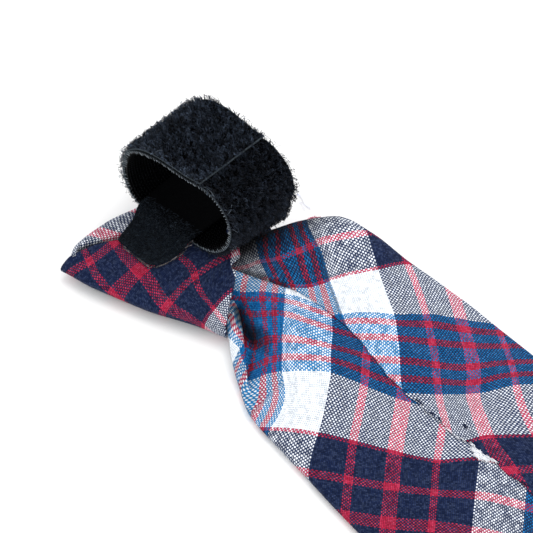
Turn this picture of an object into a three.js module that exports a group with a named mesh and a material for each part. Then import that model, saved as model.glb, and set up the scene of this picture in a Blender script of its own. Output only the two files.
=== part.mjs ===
// A dog's necktie lying face down: a tartan blade folded from one cloth and closed by a seam down its back,
// a knot wrapped round the blade's gathered neck, and a hook-and-loop strap that a collar goes through,
// held on the knot's back by a felt tab.
//
// Millimetres, +Z up. The blade points along +X and its seam runs along X. The knot, the strap and the tab
// share a frame of their own, turned a few degrees on the table: "along" runs from the knot's wide end
// towards the blade, "across" from its near corner to its far corner.
import * as THREE from "three";

// ---------- driving dimensions ----------
const seat = 0.3; // clearance that two touching pieces keep

const blade = {
  wall: 1.0,
  seamY: 35.5,
  hem: 7, // how far the far flap laps over the near one
  hemLift: 1.4, // rise of the far flap over the near one
  hemSlope: 10, // length in which that rise dies away
  edge: 2.6, // thickness of the folded side edges
  roundness: 2.4, // power of the back's arch
  baseLift: 1.8, // height of the front cloth where it passes over the knot's front
  baseDown: [42, 54], // stretch in which the front cloth comes down to the table
  baseArch: 0.02, // rise of the front cloth between there and the point
  lapStarts: [25, 33], // stretch in which the seam, butted inside the knot, becomes a lapped one
  lapEnds: [168, 184], // stretch in which it closes to a butted one again towards the point
  steps: { neck: 2.5, middle: 8, point: 4 }, // length between cross sections
  middleFrom: 60,
  pointFrom: 164,
};

// The blade's outline and thickness, a row for each cross section. The reach is how far the far flap's
// free edge lies past the seam line.
const bladeSections = [
  // x, near edge y, far edge y, crown height, reach
  [23, 28, 49.4, 5.0, 4],
  [26, 26, 54, 5.2, 4],
  [30, 23.5, 57.4, 5.7, 4],
  [34, 21.5, 59.8, 6.3, 4],
  [38, 19.5, 61.6, 6.9, 3.2],
  [42, 17, 62.8, 7.4, 1.4],
  [46, 14, 63.7, 7.6, 0],
  [52, 10.4, 64.6, 7.7, 0],
  [60, 6.8, 65.2, 7.6, 0],
  [72, 5.9, 65.6, 7.4, 0],
  [90, 5, 66.2, 7.2, 0],
  [110, 4.4, 66.8, 7, 0],
  [135, 3.8, 67.4, 6.6, 0],
  [160, 3.4, 67.9, 6, 0],
  [168, 4.6, 66.6, 5.8, 0],
  [176, 12.2, 58.9, 5.4, 0],
  [184, 20.2, 50.8, 4.9, 0],
  [192, 28.2, 42.8, 4.4, 0],
  [196, 31.9, 39.1, 4, 0],
  [197.6, 33.4, 37.6, 3.8, 0],
];

// The pleat: cloth of the far flap heaped up beside the throat, with a steep front.
const pleat = {
  height: 2.6,
  y: [30, 57],
  start: [32, -0.5], // x at the pleat's near side, and its change for each millimetre across
  end: 45, // x of its front
  soft: 4, // length of its slopes
};

// The crease: a groove in the near flap that runs out of the throat.
const crease = {
  depth: 1.5,
  from: [37, 23.5], // x, y
  to: [52, 16.5],
  width: 2.2,
  fadeIn: [-5, 1], // along its line
  fadeOut: 0.4, // share of its length where it begins to die away
};

const knot = {
  turn: 8, // degrees between the knot's own axis and the blade's
  wall: 1.2,
  centre: 28, // across
  crown: 2.6, // roundness of the back
  flatness: 5, // roundness of the front that lies on the table
};

// The knot's taper, a row for each station along it.
const knotTaper = [
  // along, half width, height
  [-4, 28.9, 6.5],
  [0, 28, 6.5],
  [22, 22.8, 6.5],
  [31, 20.6, 7.3],
  [44, 17.5, 8],
];

// Where the wrapped cloth starts and ends, a row for each direction round the knot
// (0 far side, 90 back, 180 near side, 270 front).
const wrapEnds = [
  // degrees, start, end
  [0, 0, 24],
  [30, -0.8, 24.5],
  [48, -1, 26],
  [60, 4, 27.5],
  [75, 9, 30],
  [90, 12, 33],
  [105, 9, 37],
  [120, 4, 40.5],
  [132, -1, 42],
  [150, -0.8, 43],
  [180, 0, 43],
  [270, 0, 42],
  [300, 0, 37],
  [330, 0, 26],
  [360, 0, 24],
];

// The cloth that rolls over the knot's wide end and goes back inside it.
const roll = {
  wall: 1.0,
  legs: 15, // how far both legs reach in along the knot
  margin: 3.5, // left free at each side
  slack: 0.35, // more room over its upper leg
};

// How far the roll stands out of the wide end, a row for each place across the knot.
const rollLine = [
  // across, along
  [3.5, 0],
  [8.5, -3.4],
  [17, -2.6],
  [28, 1.8],
  [39, -2.6],
  [47.5, -3.4],
  [52.5, 0],
];

const lean = 0.113; // the strap and the tab lean along the knot, for each millimetre across

const strap = {
  thickness: 1.0,
  width: 20,
  nearEdge: 24.7, // across
  overlap: 0.4, // of a turn, the stretch where the strap lies on itself
  steps: 80,
  climb: [0.89, 0.99], // of a turn, where it rises onto its own start
  floor: 7.9, // height of its inner face where it lies on the knot
  flatTo: 18.5, // along, where it begins to curl up from the knot
  curl: 0.04, // rise for each square millimetre past that
};

// The strap's inner face seen along the collar, a row for each point, from the lower left round by the top.
const strapLoop = [
  // along, height
  [1.6, 12],
  [0.6, 17.5],
  [2.6, 24.4],
  [6.8, 28],
  [12.5, 29.8],
  [20, 30.3],
  [26, 30.8],
  [30.8, 27.4],
  [32.7, 21.5],
  [31, 15.2],
  [25.4, 9.7],
  [19, strap.floor],
  [13.5, strap.floor],
  [8, strap.floor],
  [4, 9.1],
];

const tab = {
  thickness: 1.2,
  middle: 14.8, // along
  nearTip: 11.6, // across
  farTip: 48,
  droop: 4.2, // length of the bend down to the knot beside the strap
  corner: 5, // length of its rounded ends
  blunt: 0.45, // width left at its very ends, as a share
  ease: 0.6, // across, from the strap's edge to where the tab leaves it
  lift: 0.45, // clearance under it
};

// Half the tab's width, a row for each place across the knot.
const tabWidths = [
  // across, half width
  [11.6, 6.2],
  [16, 7.6],
  [24, 8.5],
  [48, 8.5],
];

// ---------- small tools ----------
const mix = (a, b, t) => a + (b - a) * t;

const smooth = (from, to, value) => {
  const t = Math.min(1, Math.max(0, (value - from) / (to - from)));
  return t * t * (3 - 2 * t);
};

// Value of a table's column at a given first column, by a curve with no overshoot between rows.
function lookUp(table, value, column) {
  const last = table.length - 1;
  if (value <= table[0][0]) return table[0][column];
  if (value >= table[last][0]) return table[last][column];
  const i = table.findIndex((row) => row[0] > value) - 1;
  const rise = (k) => (table[k + 1][column] - table[k][column]) / (table[k + 1][0] - table[k][0]);
  const slope = (k) => {
    if (k === 0 || k === last) return rise(Math.min(k, last - 1));
    const before = rise(k - 1);
    const after = rise(k);
    return before * after <= 0 ? 0 : (2 * before * after) / (before + after);
  };
  const span = table[i + 1][0] - table[i][0];
  const t = (value - table[i][0]) / span;
  const t2 = t * t;
  const t3 = t2 * t;
  return (
    (2 * t3 - 3 * t2 + 1) * table[i][column] +
    (t3 - 2 * t2 + t) * span * slope(i) +
    (3 * t2 - 2 * t3) * table[i + 1][column] +
    (t3 - t2) * span * slope(i + 1)
  );
}

const signedPower = (value, power) => Math.sign(value) * Math.abs(value) ** power;

// A cloth with thickness: the grid of points on its middle surface is pushed out to both sides along the
// surface's normals, and its borders are closed. With ring true the grid's rows join end to start.
function clothSolid(grid, wall, ring = false) {
  const rows = grid.length;
  const columns = grid[0].length;
  const at = (i, j) => {
    const row = grid[Math.min(rows - 1, Math.max(0, i))];
    return ring ? row[(j + columns) % columns] : row[Math.min(columns - 1, Math.max(0, j))];
  };
  const points = [];
  for (const side of [0.5, -0.5]) {
    for (let i = 0; i < rows; i++) {
      for (let j = 0; j < columns; j++) {
        const along = at(i + 1, j).clone().sub(at(i - 1, j));
        const across = at(i, j + 1).clone().sub(at(i, j - 1));
        const normal = across.cross(along).normalize();
        points.push(at(i, j).clone().addScaledVector(normal, side * wall));
      }
    }
  }
  const inner = rows * columns;
  const faces = [];
  const quad = (a, b, c, d) => faces.push(a, b, c, a, c, d);
  const spans = ring ? columns : columns - 1;
  for (let i = 0; i + 1 < rows; i++) {
    for (let j = 0; j < spans; j++) {
      const a = i * columns + j;
      const b = i * columns + ((j + 1) % columns);
      quad(a, b, b + columns, a + columns);
      quad(inner + b, inner + a, inner + a + columns, inner + b + columns);
    }
  }
  for (let j = 0; j < spans; j++) {
    const next = (j + 1) % columns;
    const end = (rows - 1) * columns;
    quad(inner + j, inner + next, next, j);
    quad(end + j, end + next, inner + end + next, inner + end + j);
  }
  if (!ring) {
    for (let i = 0; i + 1 < rows; i++) {
      const a = i * columns;
      const b = a + columns - 1;
      quad(a, a + columns, inner + a + columns, inner + a);
      quad(inner + b, inner + b + columns, b + columns, b);
    }
  }
  const geometry = new THREE.BufferGeometry();
  geometry.setAttribute(
    "position",
    new THREE.Float32BufferAttribute(points.flatMap((p) => [p.x, p.y, p.z]), 3),
  );
  geometry.setIndex(faces);
  geometry.computeVertexNormals();
  return geometry;
}

const piece = (name, geometry, material) => {
  const mesh = new THREE.Mesh(geometry, new THREE.MeshStandardMaterial(material));
  mesh.name = name;
  return mesh;
};

// ---------- blade ----------
// Extra height of the pleat over the far flap.
function pleatRise(x, y) {
  const start = pleat.start[0] + pleat.start[1] * (y - pleat.y[0]);
  const lengthwise = smooth(start, start + pleat.soft, x) *
    (1 - smooth(pleat.end - pleat.soft, pleat.end + pleat.soft, x));
  const sideways = 1 - smooth(pleat.y[1] - 3 * pleat.soft, pleat.y[1], y);
  return pleat.height * lengthwise * sideways;
}

// Depth of the crease in the near flap, by the distance from its line.
function creaseDepth(x, y) {
  const [dx, dy] = [crease.to[0] - crease.from[0], crease.to[1] - crease.from[1]];
  const length = Math.hypot(dx, dy);
  const along = ((x - crease.from[0]) * dx + (y - crease.from[1]) * dy) / length;
  const aside = ((y - crease.from[1]) * dx - (x - crease.from[0]) * dy) / length;
  const ends = smooth(...crease.fadeIn, along) * (1 - smooth(length * crease.fadeOut, length, along));
  return crease.depth * ends * Math.exp(-((aside / crease.width) ** 2));
}

// One cross section of the blade as an open path: the near flap from under the far one, the near edge,
// the front on the table, the far edge and the far flap back to the seam.
function bladeSection(x) {
  const near = lookUp(bladeSections, x, 1);
  const far = lookUp(bladeSections, x, 2);
  const crown = lookUp(bladeSections, x, 3) - blade.wall / 2;
  const bend = (blade.edge - blade.wall) / 2;
  const tip = bladeSections.at(-1)[0];
  const [, down] = blade.baseDown;
  const arch = blade.baseArch * Math.sin(Math.PI * Math.max(0, (x - down) / (tip - down)));
  const base = blade.wall / 2 + blade.baseLift * (1 - smooth(...blade.baseDown, x)) + arch;
  const middle = (near + far) / 2;
  const half = (far - near) / 2 - blade.wall / 2 - bend;
  const lapped = smooth(...blade.lapStarts, x) * (1 - smooth(...blade.lapEnds, x));
  const back = (y) => {
    const u = Math.min(1, Math.abs(y - middle) / half);
    return base + 2 * bend + (crown - base - 2 * bend) * (1 - u ** blade.roundness);
  };
  const farEnd = blade.seamY - lookUp(bladeSections, x, 4);
  const nearEnd = farEnd + mix(-2 * seat, blade.hem, lapped);
  const path = [];
  const flapSteps = 9;
  const farSteps = 12;
  const frontSteps = 6;
  const edgeSteps = 4;
  for (let k = 0; k <= flapSteps; k++) {
    const y = mix(nearEnd, middle - half, Math.sin((k / flapSteps) * Math.PI * 0.5));
    path.push([y, back(y) - creaseDepth(x, y)]);
  }
  for (let k = 1; k < edgeSteps; k++) {
    const turn = (k / edgeSteps) * Math.PI;
    path.push([middle - half - bend * Math.sin(turn), base + bend + bend * Math.cos(turn)]);
  }
  for (let k = 0; k <= frontSteps; k++) path.push([mix(middle - half, middle + half, k / frontSteps), base]);
  for (let k = 1; k < edgeSteps; k++) {
    const turn = (k / edgeSteps) * Math.PI;
    path.push([middle + half + bend * Math.sin(turn), base + bend - bend * Math.cos(turn)]);
  }
  for (let k = 0; k <= farSteps; k++) {
    const y = mix(farEnd, middle + half, Math.cos((k / farSteps) * Math.PI * 0.5));
    const lift = blade.hemLift * lapped * (1 - smooth(nearEnd + 1, nearEnd + 1 + blade.hemSlope, y));
    path.push([y, back(y) + lift + pleatRise(x, y)]);
  }
  return path.map(([y, z]) => new THREE.Vector3(x, y, z));
}

function bladeGeometry() {
  const first = bladeSections[0][0];
  const last = bladeSections.at(-1)[0];
  const stations = [];
  const { neck, middle, point } = blade.steps;
  for (let x = first; x < blade.middleFrom; x += neck) stations.push(x);
  for (let x = blade.middleFrom; x < blade.pointFrom; x += middle) stations.push(x);
  for (let x = blade.pointFrom; x < last; x += point) stations.push(x);
  stations.push(last);
  return clothSolid(stations.map(bladeSection), blade.wall);
}

// ---------- knot ----------
// Middle surface of the wrapped cloth.
function wrapPoint(degrees, along) {
  const turn = THREE.MathUtils.degToRad(degrees);
  const half = lookUp(knotTaper, along, 1) - knot.wall / 2;
  const height = lookUp(knotTaper, along, 2);
  const rise = (height - knot.wall) / 2;
  const power = 2 / (Math.sin(turn) >= 0 ? knot.crown : knot.flatness);
  const across = knot.centre + half * signedPower(Math.cos(turn), power);
  return new THREE.Vector3(along, across, height / 2 + rise * signedPower(Math.sin(turn), power));
}

// Height of the wrapped cloth's outer face at a place on the knot: its back with side 1, its front with -1.
function knotFace(along, across, side = 1) {
  const half = lookUp(knotTaper, along, 1);
  const height = lookUp(knotTaper, along, 2);
  const power = side > 0 ? knot.crown : knot.flatness;
  const u = Math.min(1, Math.abs(across - knot.centre) / half);
  return (height / 2) * (1 + side * (1 - u ** power) ** (1 / power));
}

function wrapGeometry() {
  const around = 40;
  const steps = 9;
  const grid = [];
  for (let i = 0; i <= steps; i++) {
    const row = [];
    for (let j = 0; j < around; j++) {
      const degrees = (j / around) * 360;
      const along = mix(lookUp(wrapEnds, degrees, 1), lookUp(wrapEnds, degrees, 2), i / steps);
      row.push(wrapPoint(degrees, along));
    }
    grid.push(row);
  }
  return clothSolid(grid, knot.wall, true);
}

// The rolled cloth narrows with the knot. Its legs lie inside the wrapped cloth's front and back.
function rollGeometry() {
  const rows = 18;
  const legSteps = 4;
  const bendSteps = 6;
  const clearance = knot.wall + seat + roll.wall / 2;
  const widest = lookUp(knotTaper, 0, 1);
  const grid = [];
  for (let i = 0; i <= rows; i++) {
    const across = mix(roll.margin, 2 * knot.centre - roll.margin, i / rows);
    const low = knotFace(0, across, -1) + clearance;
    const high = knotFace(0, across) - clearance - roll.slack;
    const bend = (high - low) / 2;
    const start = lookUp(rollLine, across, 1) + roll.wall / 2 + bend;
    const place = (along, height) => {
      const narrowing = lookUp(knotTaper, Math.max(0, along), 1) / widest;
      return new THREE.Vector3(along, knot.centre + (across - knot.centre) * narrowing, height);
    };
    const row = [];
    for (let k = 0; k <= legSteps; k++) row.push(place(mix(roll.legs, start, k / legSteps), low));
    for (let k = 1; k < bendSteps; k++) {
      const turn = (k / bendSteps) * Math.PI;
      row.push(place(start - bend * Math.sin(turn), low + bend - bend * Math.cos(turn)));
    }
    for (let k = 0; k <= legSteps; k++) row.push(place(mix(start, roll.legs, k / legSteps), high));
    grid.push(row);
  }
  return clothSolid(grid, roll.wall);
}

// ---------- strap ----------
function strapGeometry() {
  const loop = new THREE.CatmullRomCurve3(
    strapLoop.map(([along, height]) => new THREE.Vector3(along, 0, height)),
    true,
    "centripetal",
  );
  const turns = 1 + strap.overlap;
  const outer = [];
  const inner = [];
  for (let i = 0; i <= strap.steps; i++) {
    const t = (i / strap.steps) * turns;
    const point = loop.getPointAt(t % 1);
    const forward = loop.getTangentAt(t % 1);
    const outward = new THREE.Vector2(-forward.z, forward.x);
    const layer = (strap.thickness + seat) * smooth(...strap.climb, t);
    inner.push(new THREE.Vector2(point.x + outward.x * layer, point.z + outward.y * layer));
    const top = layer + strap.thickness;
    outer.push(new THREE.Vector2(point.x + outward.x * top, point.z + outward.y * top));
  }
  const outline = new THREE.Shape([...outer, ...inner.reverse()]);
  const geometry = new THREE.ExtrudeGeometry(outline, { depth: strap.width, bevelEnabled: false });
  geometry.rotateX(Math.PI / 2);
  geometry.translate(0, strap.width, 0);
  geometry.applyMatrix4(new THREE.Matrix4().makeShear(0, 0, lean, 0, 0, 0));
  geometry.translate(0, strap.nearEdge, 0);
  return geometry;
}

// ---------- tab ----------
// Height of the tab's middle surface: over the strap inside the loop, down on the knot beyond its edges.
function tabHeight(along, leaning, across) {
  const curl = strap.curl * Math.max(0, along - strap.flatTo) ** 2;
  const overStrap = strap.floor + curl + tab.lift + tab.thickness / 2;
  const onKnot = knotFace(leaning, across) + tab.lift + tab.thickness / 2;
  const near = strap.nearEdge - tab.ease;
  const far = strap.nearEdge + strap.width + tab.ease;
  const inside = smooth(near - tab.droop, near, across) * (1 - smooth(far, far + tab.droop, across));
  return mix(onKnot, Math.max(overStrap, onKnot), inside);
}

function tabGeometry() {
  const rows = 18;
  const columns = 8;
  const grid = [];
  for (let i = 0; i <= rows; i++) {
    const across = mix(tab.nearTip, tab.farTip, i / rows);
    const toTip = Math.min(across - tab.nearTip, tab.farTip - across);
    const round = Math.sqrt(1 - (1 - Math.min(1, toTip / tab.corner)) ** 2);
    const half = lookUp(tabWidths, across, 1) * mix(tab.blunt, 1, round);
    const row = [];
    for (let j = 0; j <= columns; j++) {
      const along = tab.middle + half * mix(1, -1, j / columns);
      const leaning = along + lean * (across - strap.nearEdge);
      row.push(new THREE.Vector3(leaning, across, tabHeight(along, leaning, across)));
    }
    grid.push(row);
  }
  return clothSolid(grid, tab.thickness);
}

// ---------- assembly ----------
const cloth = { roughness: 0.9, metalness: 0 };
const tie = new THREE.Group();
tie.add(piece("blade", bladeGeometry(), { ...cloth, color: 0x5f77a8 }));

const knotFrame = new THREE.Group();
knotFrame.position.y = -1;
knotFrame.rotation.z = THREE.MathUtils.degToRad(knot.turn);
knotFrame.add(piece("knot_wrap", wrapGeometry(), { ...cloth, color: 0x252a4c }));
knotFrame.add(piece("knot_roll", rollGeometry(), { ...cloth, color: 0x9aa0b4 }));
knotFrame.add(piece("strap", strapGeometry(), { color: 0x0b0d12, roughness: 0.85, metalness: 0 }));
knotFrame.add(piece("strap_tab", tabGeometry(), { color: 0x10161a, roughness: 1, metalness: 0 }));
tie.add(knotFrame);

// The origin is on the table, under the middle of the whole tie.
const box = new THREE.Box3().setFromObject(tie, true);
const middle = box.getCenter(new THREE.Vector3());
tie.position.set(-middle.x, -middle.y, -box.min.z);

export default tie;
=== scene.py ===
# %% [markdown]
# # A dog's necktie, lying face down
#
# A short tartan tie for a dog's collar. The blade is one cloth folded to a flat tube and closed by a seam
# down its back. A second piece of the cloth is wrapped round its gathered neck as the knot. On the knot's
# back a hook-and-loop strap stands up as a loop for the collar, held down by a black felt tab.
#
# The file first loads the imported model, which says where every part lies. Then each part is made again as
# cloth, tape or felt, one after the other. Lengths are in millimetres until a mesh is made.

# %% Load the frame
import math

import bmesh
import bpy
import numpy as np
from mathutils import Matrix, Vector


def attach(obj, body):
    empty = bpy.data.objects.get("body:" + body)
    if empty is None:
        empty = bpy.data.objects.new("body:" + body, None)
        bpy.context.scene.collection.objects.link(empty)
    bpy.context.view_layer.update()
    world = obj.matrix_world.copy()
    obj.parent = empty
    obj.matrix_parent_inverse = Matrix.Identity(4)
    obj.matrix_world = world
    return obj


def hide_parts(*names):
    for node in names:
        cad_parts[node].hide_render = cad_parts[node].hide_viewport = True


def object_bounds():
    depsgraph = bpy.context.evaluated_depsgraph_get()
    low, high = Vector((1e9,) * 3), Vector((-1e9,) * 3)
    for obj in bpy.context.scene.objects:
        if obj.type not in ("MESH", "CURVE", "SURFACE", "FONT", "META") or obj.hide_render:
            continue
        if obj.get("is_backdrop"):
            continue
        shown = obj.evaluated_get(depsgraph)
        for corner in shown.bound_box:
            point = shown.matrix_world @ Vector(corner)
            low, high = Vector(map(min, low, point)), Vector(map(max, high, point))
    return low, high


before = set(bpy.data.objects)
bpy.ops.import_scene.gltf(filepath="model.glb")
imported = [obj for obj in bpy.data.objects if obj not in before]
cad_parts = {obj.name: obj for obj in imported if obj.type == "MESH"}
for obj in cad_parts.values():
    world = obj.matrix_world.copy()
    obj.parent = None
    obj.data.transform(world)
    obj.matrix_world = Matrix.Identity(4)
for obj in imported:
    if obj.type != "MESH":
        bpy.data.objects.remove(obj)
cad_low, cad_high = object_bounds()
MM = 0.001
print("the packed tie is", [round(side / MM, 1) for side in cad_high - cad_low], "mm")

# %% [markdown]
# ## The maker's own frame
#
# The tie is drawn with its seam along X, the blade's tip at 197.6 mm and the table at height 0. The
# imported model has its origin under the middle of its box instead, so one shift moves a drawn point there.
# The knot, the strap and the tab are turned a few degrees against the blade and have a frame of their own:
# "along" runs from the knot's wide end towards the blade, "across" from its near corner to its far one.
#
# Four curves do most of the shaping after that: a soft step, a window between two steps, a hump, and a
# smooth line through the rows of a table.

# %% Places and curves
DRAWN_MIDDLE = np.array([94.01, 33.46, 0.0])  # middle of the whole tie as drawn
packed_middle = (cad_low + cad_high) / 2 / MM
SHIFT = np.array([packed_middle.x, packed_middle.y, cad_low.z / MM]) - DRAWN_MIDDLE
KNOT_TURN = math.radians(8)
KNOT_ORIGIN = np.array([0.0, -1.0, 0.0])


def from_knot(points):
    """Points given as along, across, height, in the maker's frame."""
    along, across, height = np.moveaxis(np.asarray(points, float), -1, 0)
    c, s = math.cos(KNOT_TURN), math.sin(KNOT_TURN)
    return np.stack([along * c - across * s, along * s + across * c, height], axis=-1) + KNOT_ORIGIN


def smooth(start, end, value):
    """0 before start, 1 after end, and a soft step between them."""
    t = np.clip((np.asarray(value, float) - start) / (end - start), 0, 1)
    return t * t * (3 - 2 * t)


def window(value, start, full, fading, end):
    """0 up to start, 1 from full to fading, and 0 again from end."""
    return smooth(start, full, value) * (1 - smooth(fading, end, value))


def hump(value, middle, width):
    """1 at the middle, dying away on both sides of it."""
    return np.exp(-(((np.asarray(value, float) - middle) / width) ** 2))


def look_up(table, value, column):
    """A table's column at a value of its first column, by a curve with no overshoot between rows."""
    table = np.asarray(table, float)
    x, y = table[:, 0], table[:, column]
    rise = np.diff(y) / np.diff(x)
    both = rise[:-1] * rise[1:]
    inner = np.where(both > 0, 2 * both / np.where(both > 0, rise[:-1] + rise[1:], 1), 0)
    slope = np.r_[rise[0], inner, rise[-1]]
    value = np.clip(np.asarray(value, float), x[0], x[-1])
    i = np.clip(np.searchsorted(x, value, side="right") - 1, 0, len(x) - 2)
    span = x[i + 1] - x[i]
    t = (value - x[i]) / span
    return ((2 * t**3 - 3 * t**2 + 1) * y[i] + (t**3 - 2 * t**2 + t) * span * slope[i]
            + (3 * t**2 - 2 * t**3) * y[i + 1] + (t**3 - t**2) * span * slope[i + 1])


print("drawn points move by", SHIFT.round(2))

# %% [markdown]
# ## Making a mesh
#
# Every sheet here starts as a grid of points, because cloth is woven as a grid too. Each corner of the grid
# carries its place in the cloth, counted in threads, as a UV map named "threads". The weave is drawn from
# that, so the pattern bends, fans out and disappears into folds exactly as the cloth does. A second map,
# "shade_and_crush", holds painted shade, for how deep in a fold or under the strap a place lies, and says how
# crushed the cloth is there.

# %% From grids to objects
def make_object(name, points, faces, threads=None, shade_and_crush=None):
    """An object from points in the maker's frame and faces, with the two maps' values for each point."""
    mesh = bpy.data.meshes.new(name)
    mesh.from_pydata(((np.asarray(points) + SHIFT) * MM).tolist(), [], faces.tolist())
    corner = np.empty(len(mesh.loops), np.int64)
    mesh.loops.foreach_get("vertex_index", corner)
    for layer_name, values in (("threads", threads), ("shade_and_crush", shade_and_crush)):
        if values is not None:
            layer = mesh.uv_layers.new(name=layer_name)
            layer.data.foreach_set("uv", np.asarray(values, np.float32)[corner].ravel())
    mesh.update()
    mesh.shade_smooth()
    item = bpy.data.objects.new(name, mesh)
    bpy.context.scene.collection.objects.link(item)
    return item


def cloth_from_grid(name, grid, threads, thickness, inside, shade_and_crush=None):
    """A sheet of cloth whose face is a grid of points. Its thickness goes towards a point inside."""
    shade_and_crush = np.zeros((*grid.shape[:2], 2)) if shade_and_crush is None else shade_and_crush
    along, across = grid[1:, :-1] - grid[:-1, :-1], grid[:-1, 1:] - grid[:-1, :-1]
    if (np.cross(across, along) * (grid[:-1, :-1] - inside)).sum() < 0:
        grid, threads, shade_and_crush = grid[:, ::-1], threads[:, ::-1], shade_and_crush[:, ::-1]
    rows, columns = grid.shape[:2]
    i, j = np.meshgrid(np.arange(rows - 1), np.arange(columns - 1), indexing="ij")
    a = (i * columns + j).ravel()
    faces = np.stack([a, a + 1, a + columns + 1, a + columns], axis=1)
    item = make_object(name, grid.reshape(-1, 3), faces, threads.reshape(-1, 2), shade_and_crush.reshape(-1, 2))
    solid = item.modifiers.new("thickness", "SOLIDIFY")
    solid.thickness, solid.offset = thickness * MM, -1
    return item


def finish_piece(piece, material, part):
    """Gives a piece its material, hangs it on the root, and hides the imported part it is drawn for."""
    piece.data.materials.append(material)
    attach(piece, "root")
    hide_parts(part)
    shown = piece.evaluated_get(bpy.context.evaluated_depsgraph_get()).to_mesh()
    print(piece.name, "has", sum(len(face.vertices) - 2 for face in shown.polygons), "triangles")


# %% [markdown]
# ## Pinning the pattern
#
# A tie is cut on the bias, so its stripes cross it at a slant, and they fan out where the cloth is gathered.
# A formula for that would be long. A thin plate is simpler: pin a few crossings of the pattern to their
# places, and let a springy sheet take up the rest as smoothly as it can.

# %% A springy sheet through pins
def thin_plate(places, values, wanted, give=0.0):
    """Values at the wanted places of a springy sheet pinned to the given values. Give lets the pins yield."""
    places, values, wanted = (np.asarray(a, float) for a in (places, values, wanted))

    def bend(a, b):
        r2 = ((a[:, None, :] - b[None, :, :]) ** 2).sum(-1)
        return 0.5 * r2 * np.log(np.maximum(r2, 1e-12))

    n = len(places)
    flat = np.c_[np.ones(n), places]
    system = np.block([[bend(places, places) + give * np.eye(n), flat], [flat.T, np.zeros((3, 3))]])
    weights = np.linalg.solve(system, np.r_[values, np.zeros((3, values.shape[1]))])
    parts = np.array_split(wanted, len(wanted) // 4096 + 1)  # a few thousand at a time, to spare memory
    return np.concatenate([bend(part, places) @ weights[:n] + np.c_[np.ones(len(part)), part] @ weights[n:]
                           for part in parts])


# %% [markdown]
# ## Shader maths
#
# A material here is written as a formula. The class below wraps one socket of a node, so that the signs
# + - * / % < > on it add the Math nodes they need. Each sign also works with a plain number on its left, as
# in 1 - mask. Everything else, such as a noise, a ramp or the surface itself, comes from one method that
# takes a node's type, its settings and what its sockets get.

# %% Wires and finishes
def sign(operation):
    """A sign between two values, as a Math node."""
    return lambda left, right: left.maths(operation, left, right)


def turned(operation):
    """The same sign when only the value on its right is a wire."""
    return lambda right, left: right.maths(operation, left, right)


class Wire:
    """A value, colour or vector on its way through a material."""

    def __init__(self, finish, socket):
        self.finish, self.socket = finish, socket

    def maths(self, operation, *values):
        return self.finish.node("Math", {"operation": operation}, dict(enumerate(values)))

    __add__, __radd__ = sign("ADD"), turned("ADD")
    __sub__, __rsub__ = sign("SUBTRACT"), turned("SUBTRACT")
    __mul__, __rmul__ = sign("MULTIPLY"), turned("MULTIPLY")
    __truediv__, __rtruediv__ = sign("DIVIDE"), turned("DIVIDE")
    __mod__, __rmod__ = sign("FLOORED_MODULO"), turned("FLOORED_MODULO")
    __lt__, __gt__ = sign("LESS_THAN"), sign("GREATER_THAN")

    def __abs__(self):
        return self.maths("ABSOLUTE", self)

    def floor(self):
        return self.maths("FLOOR", self)

    def larger(self, other):
        return self.maths("MAXIMUM", self, other)


class Finish:
    """A material that is written as formulas."""

    def __init__(self, name):
        self.material = bpy.data.materials.new(name)
        self.material.use_nodes = True
        self.tree = self.material.node_tree
        self.tree.nodes.clear()

    def node(self, kind, settings=None, sockets=None, output=0):
        """A node of that kind, with its settings, and values or wires in its sockets."""
        made = self.tree.nodes.new("ShaderNode" + kind)
        for name, value in (settings or {}).items():
            if name == "stops":
                self.fill_ramp(made.color_ramp, *value)
            else:
                setattr(made, name, value)
        for name, value in (sockets or {}).items():
            if isinstance(value, Wire):
                self.tree.links.new(value.socket, made.inputs[name])
            else:
                made.inputs[name].default_value = value
        return Wire(self, made.outputs[output]) if len(made.outputs) else None

    @staticmethod
    def fill_ramp(ramp, kind, stops):
        ramp.interpolation = kind
        for k, (place, colour) in enumerate(stops):
            stop = ramp.elements[k] if k < 2 else ramp.elements.new(place)
            stop.position, stop.color = place, (*colour, 1)

    def uv(self, name):
        return self.node("UVMap", {"uv_map": name})

    def part(self, vector, k):
        return self.node("SeparateXYZ", {}, {0: vector}, k)

    def mix(self, share, first, second, way="MIX"):
        """Two colours mixed, or combined another way, by a share."""
        first, second = ((*c, 1) if isinstance(c, tuple) else c for c in (first, second))
        return self.node("Mix", {"data_type": "RGBA", "blend_type": way}, {0: share, 6: first, 7: second}, 2)

    def ramp(self, value, kind, stops):
        """A colour that follows a value through stops of place and colour."""
        return self.node("ValToRGB", {"stops": (kind, stops)}, {0: value})

    def rescale(self, value, low, high, to_low, to_high):
        return self.node("MapRange", {}, dict(enumerate((value, low, high, to_low, to_high))))

    def noise(self, places, scale, detail=2.0, roughness=0.5):
        return self.node("TexNoise", {}, {"Vector": places, "Scale": scale, "Detail": detail,
                                          "Roughness": roughness})

    def chance(self, *numbers):
        """A random value for each set of whole numbers."""
        place = self.node("CombineXYZ", {}, dict(enumerate(numbers)))
        return self.node("TexWhiteNoise", {"noise_dimensions": "3D"}, {"Vector": place})

    def bump(self, strength, metres, height):
        return self.node("Bump", {}, {"Strength": strength, "Distance": metres, "Height": height})

    def surface(self, colour, roughness, **others):
        """Ends the material in one shader. Other sockets are given by name, with _ for a space."""
        sockets = {name.replace("_", " "): value for name, value in others.items()}
        shader = self.node("BsdfPrincipled", {}, {"Base Color": colour, "Roughness": roughness, **sockets})
        self.node("OutputMaterial", {}, {"Surface": shader})
        return self.material


# %% [markdown]
# ## Strands
#
# Pile, hooks, felt fibres and loose ends are flat ribbons, and sewing thread is a thin round cord. Both are
# built in one go from arrays of paths, which keeps tens of thousands of them cheap.

# %% Strands
def unit(vectors):
    return vectors / np.maximum(np.linalg.norm(vectors, axis=-1, keepdims=True), 1e-9)


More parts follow.
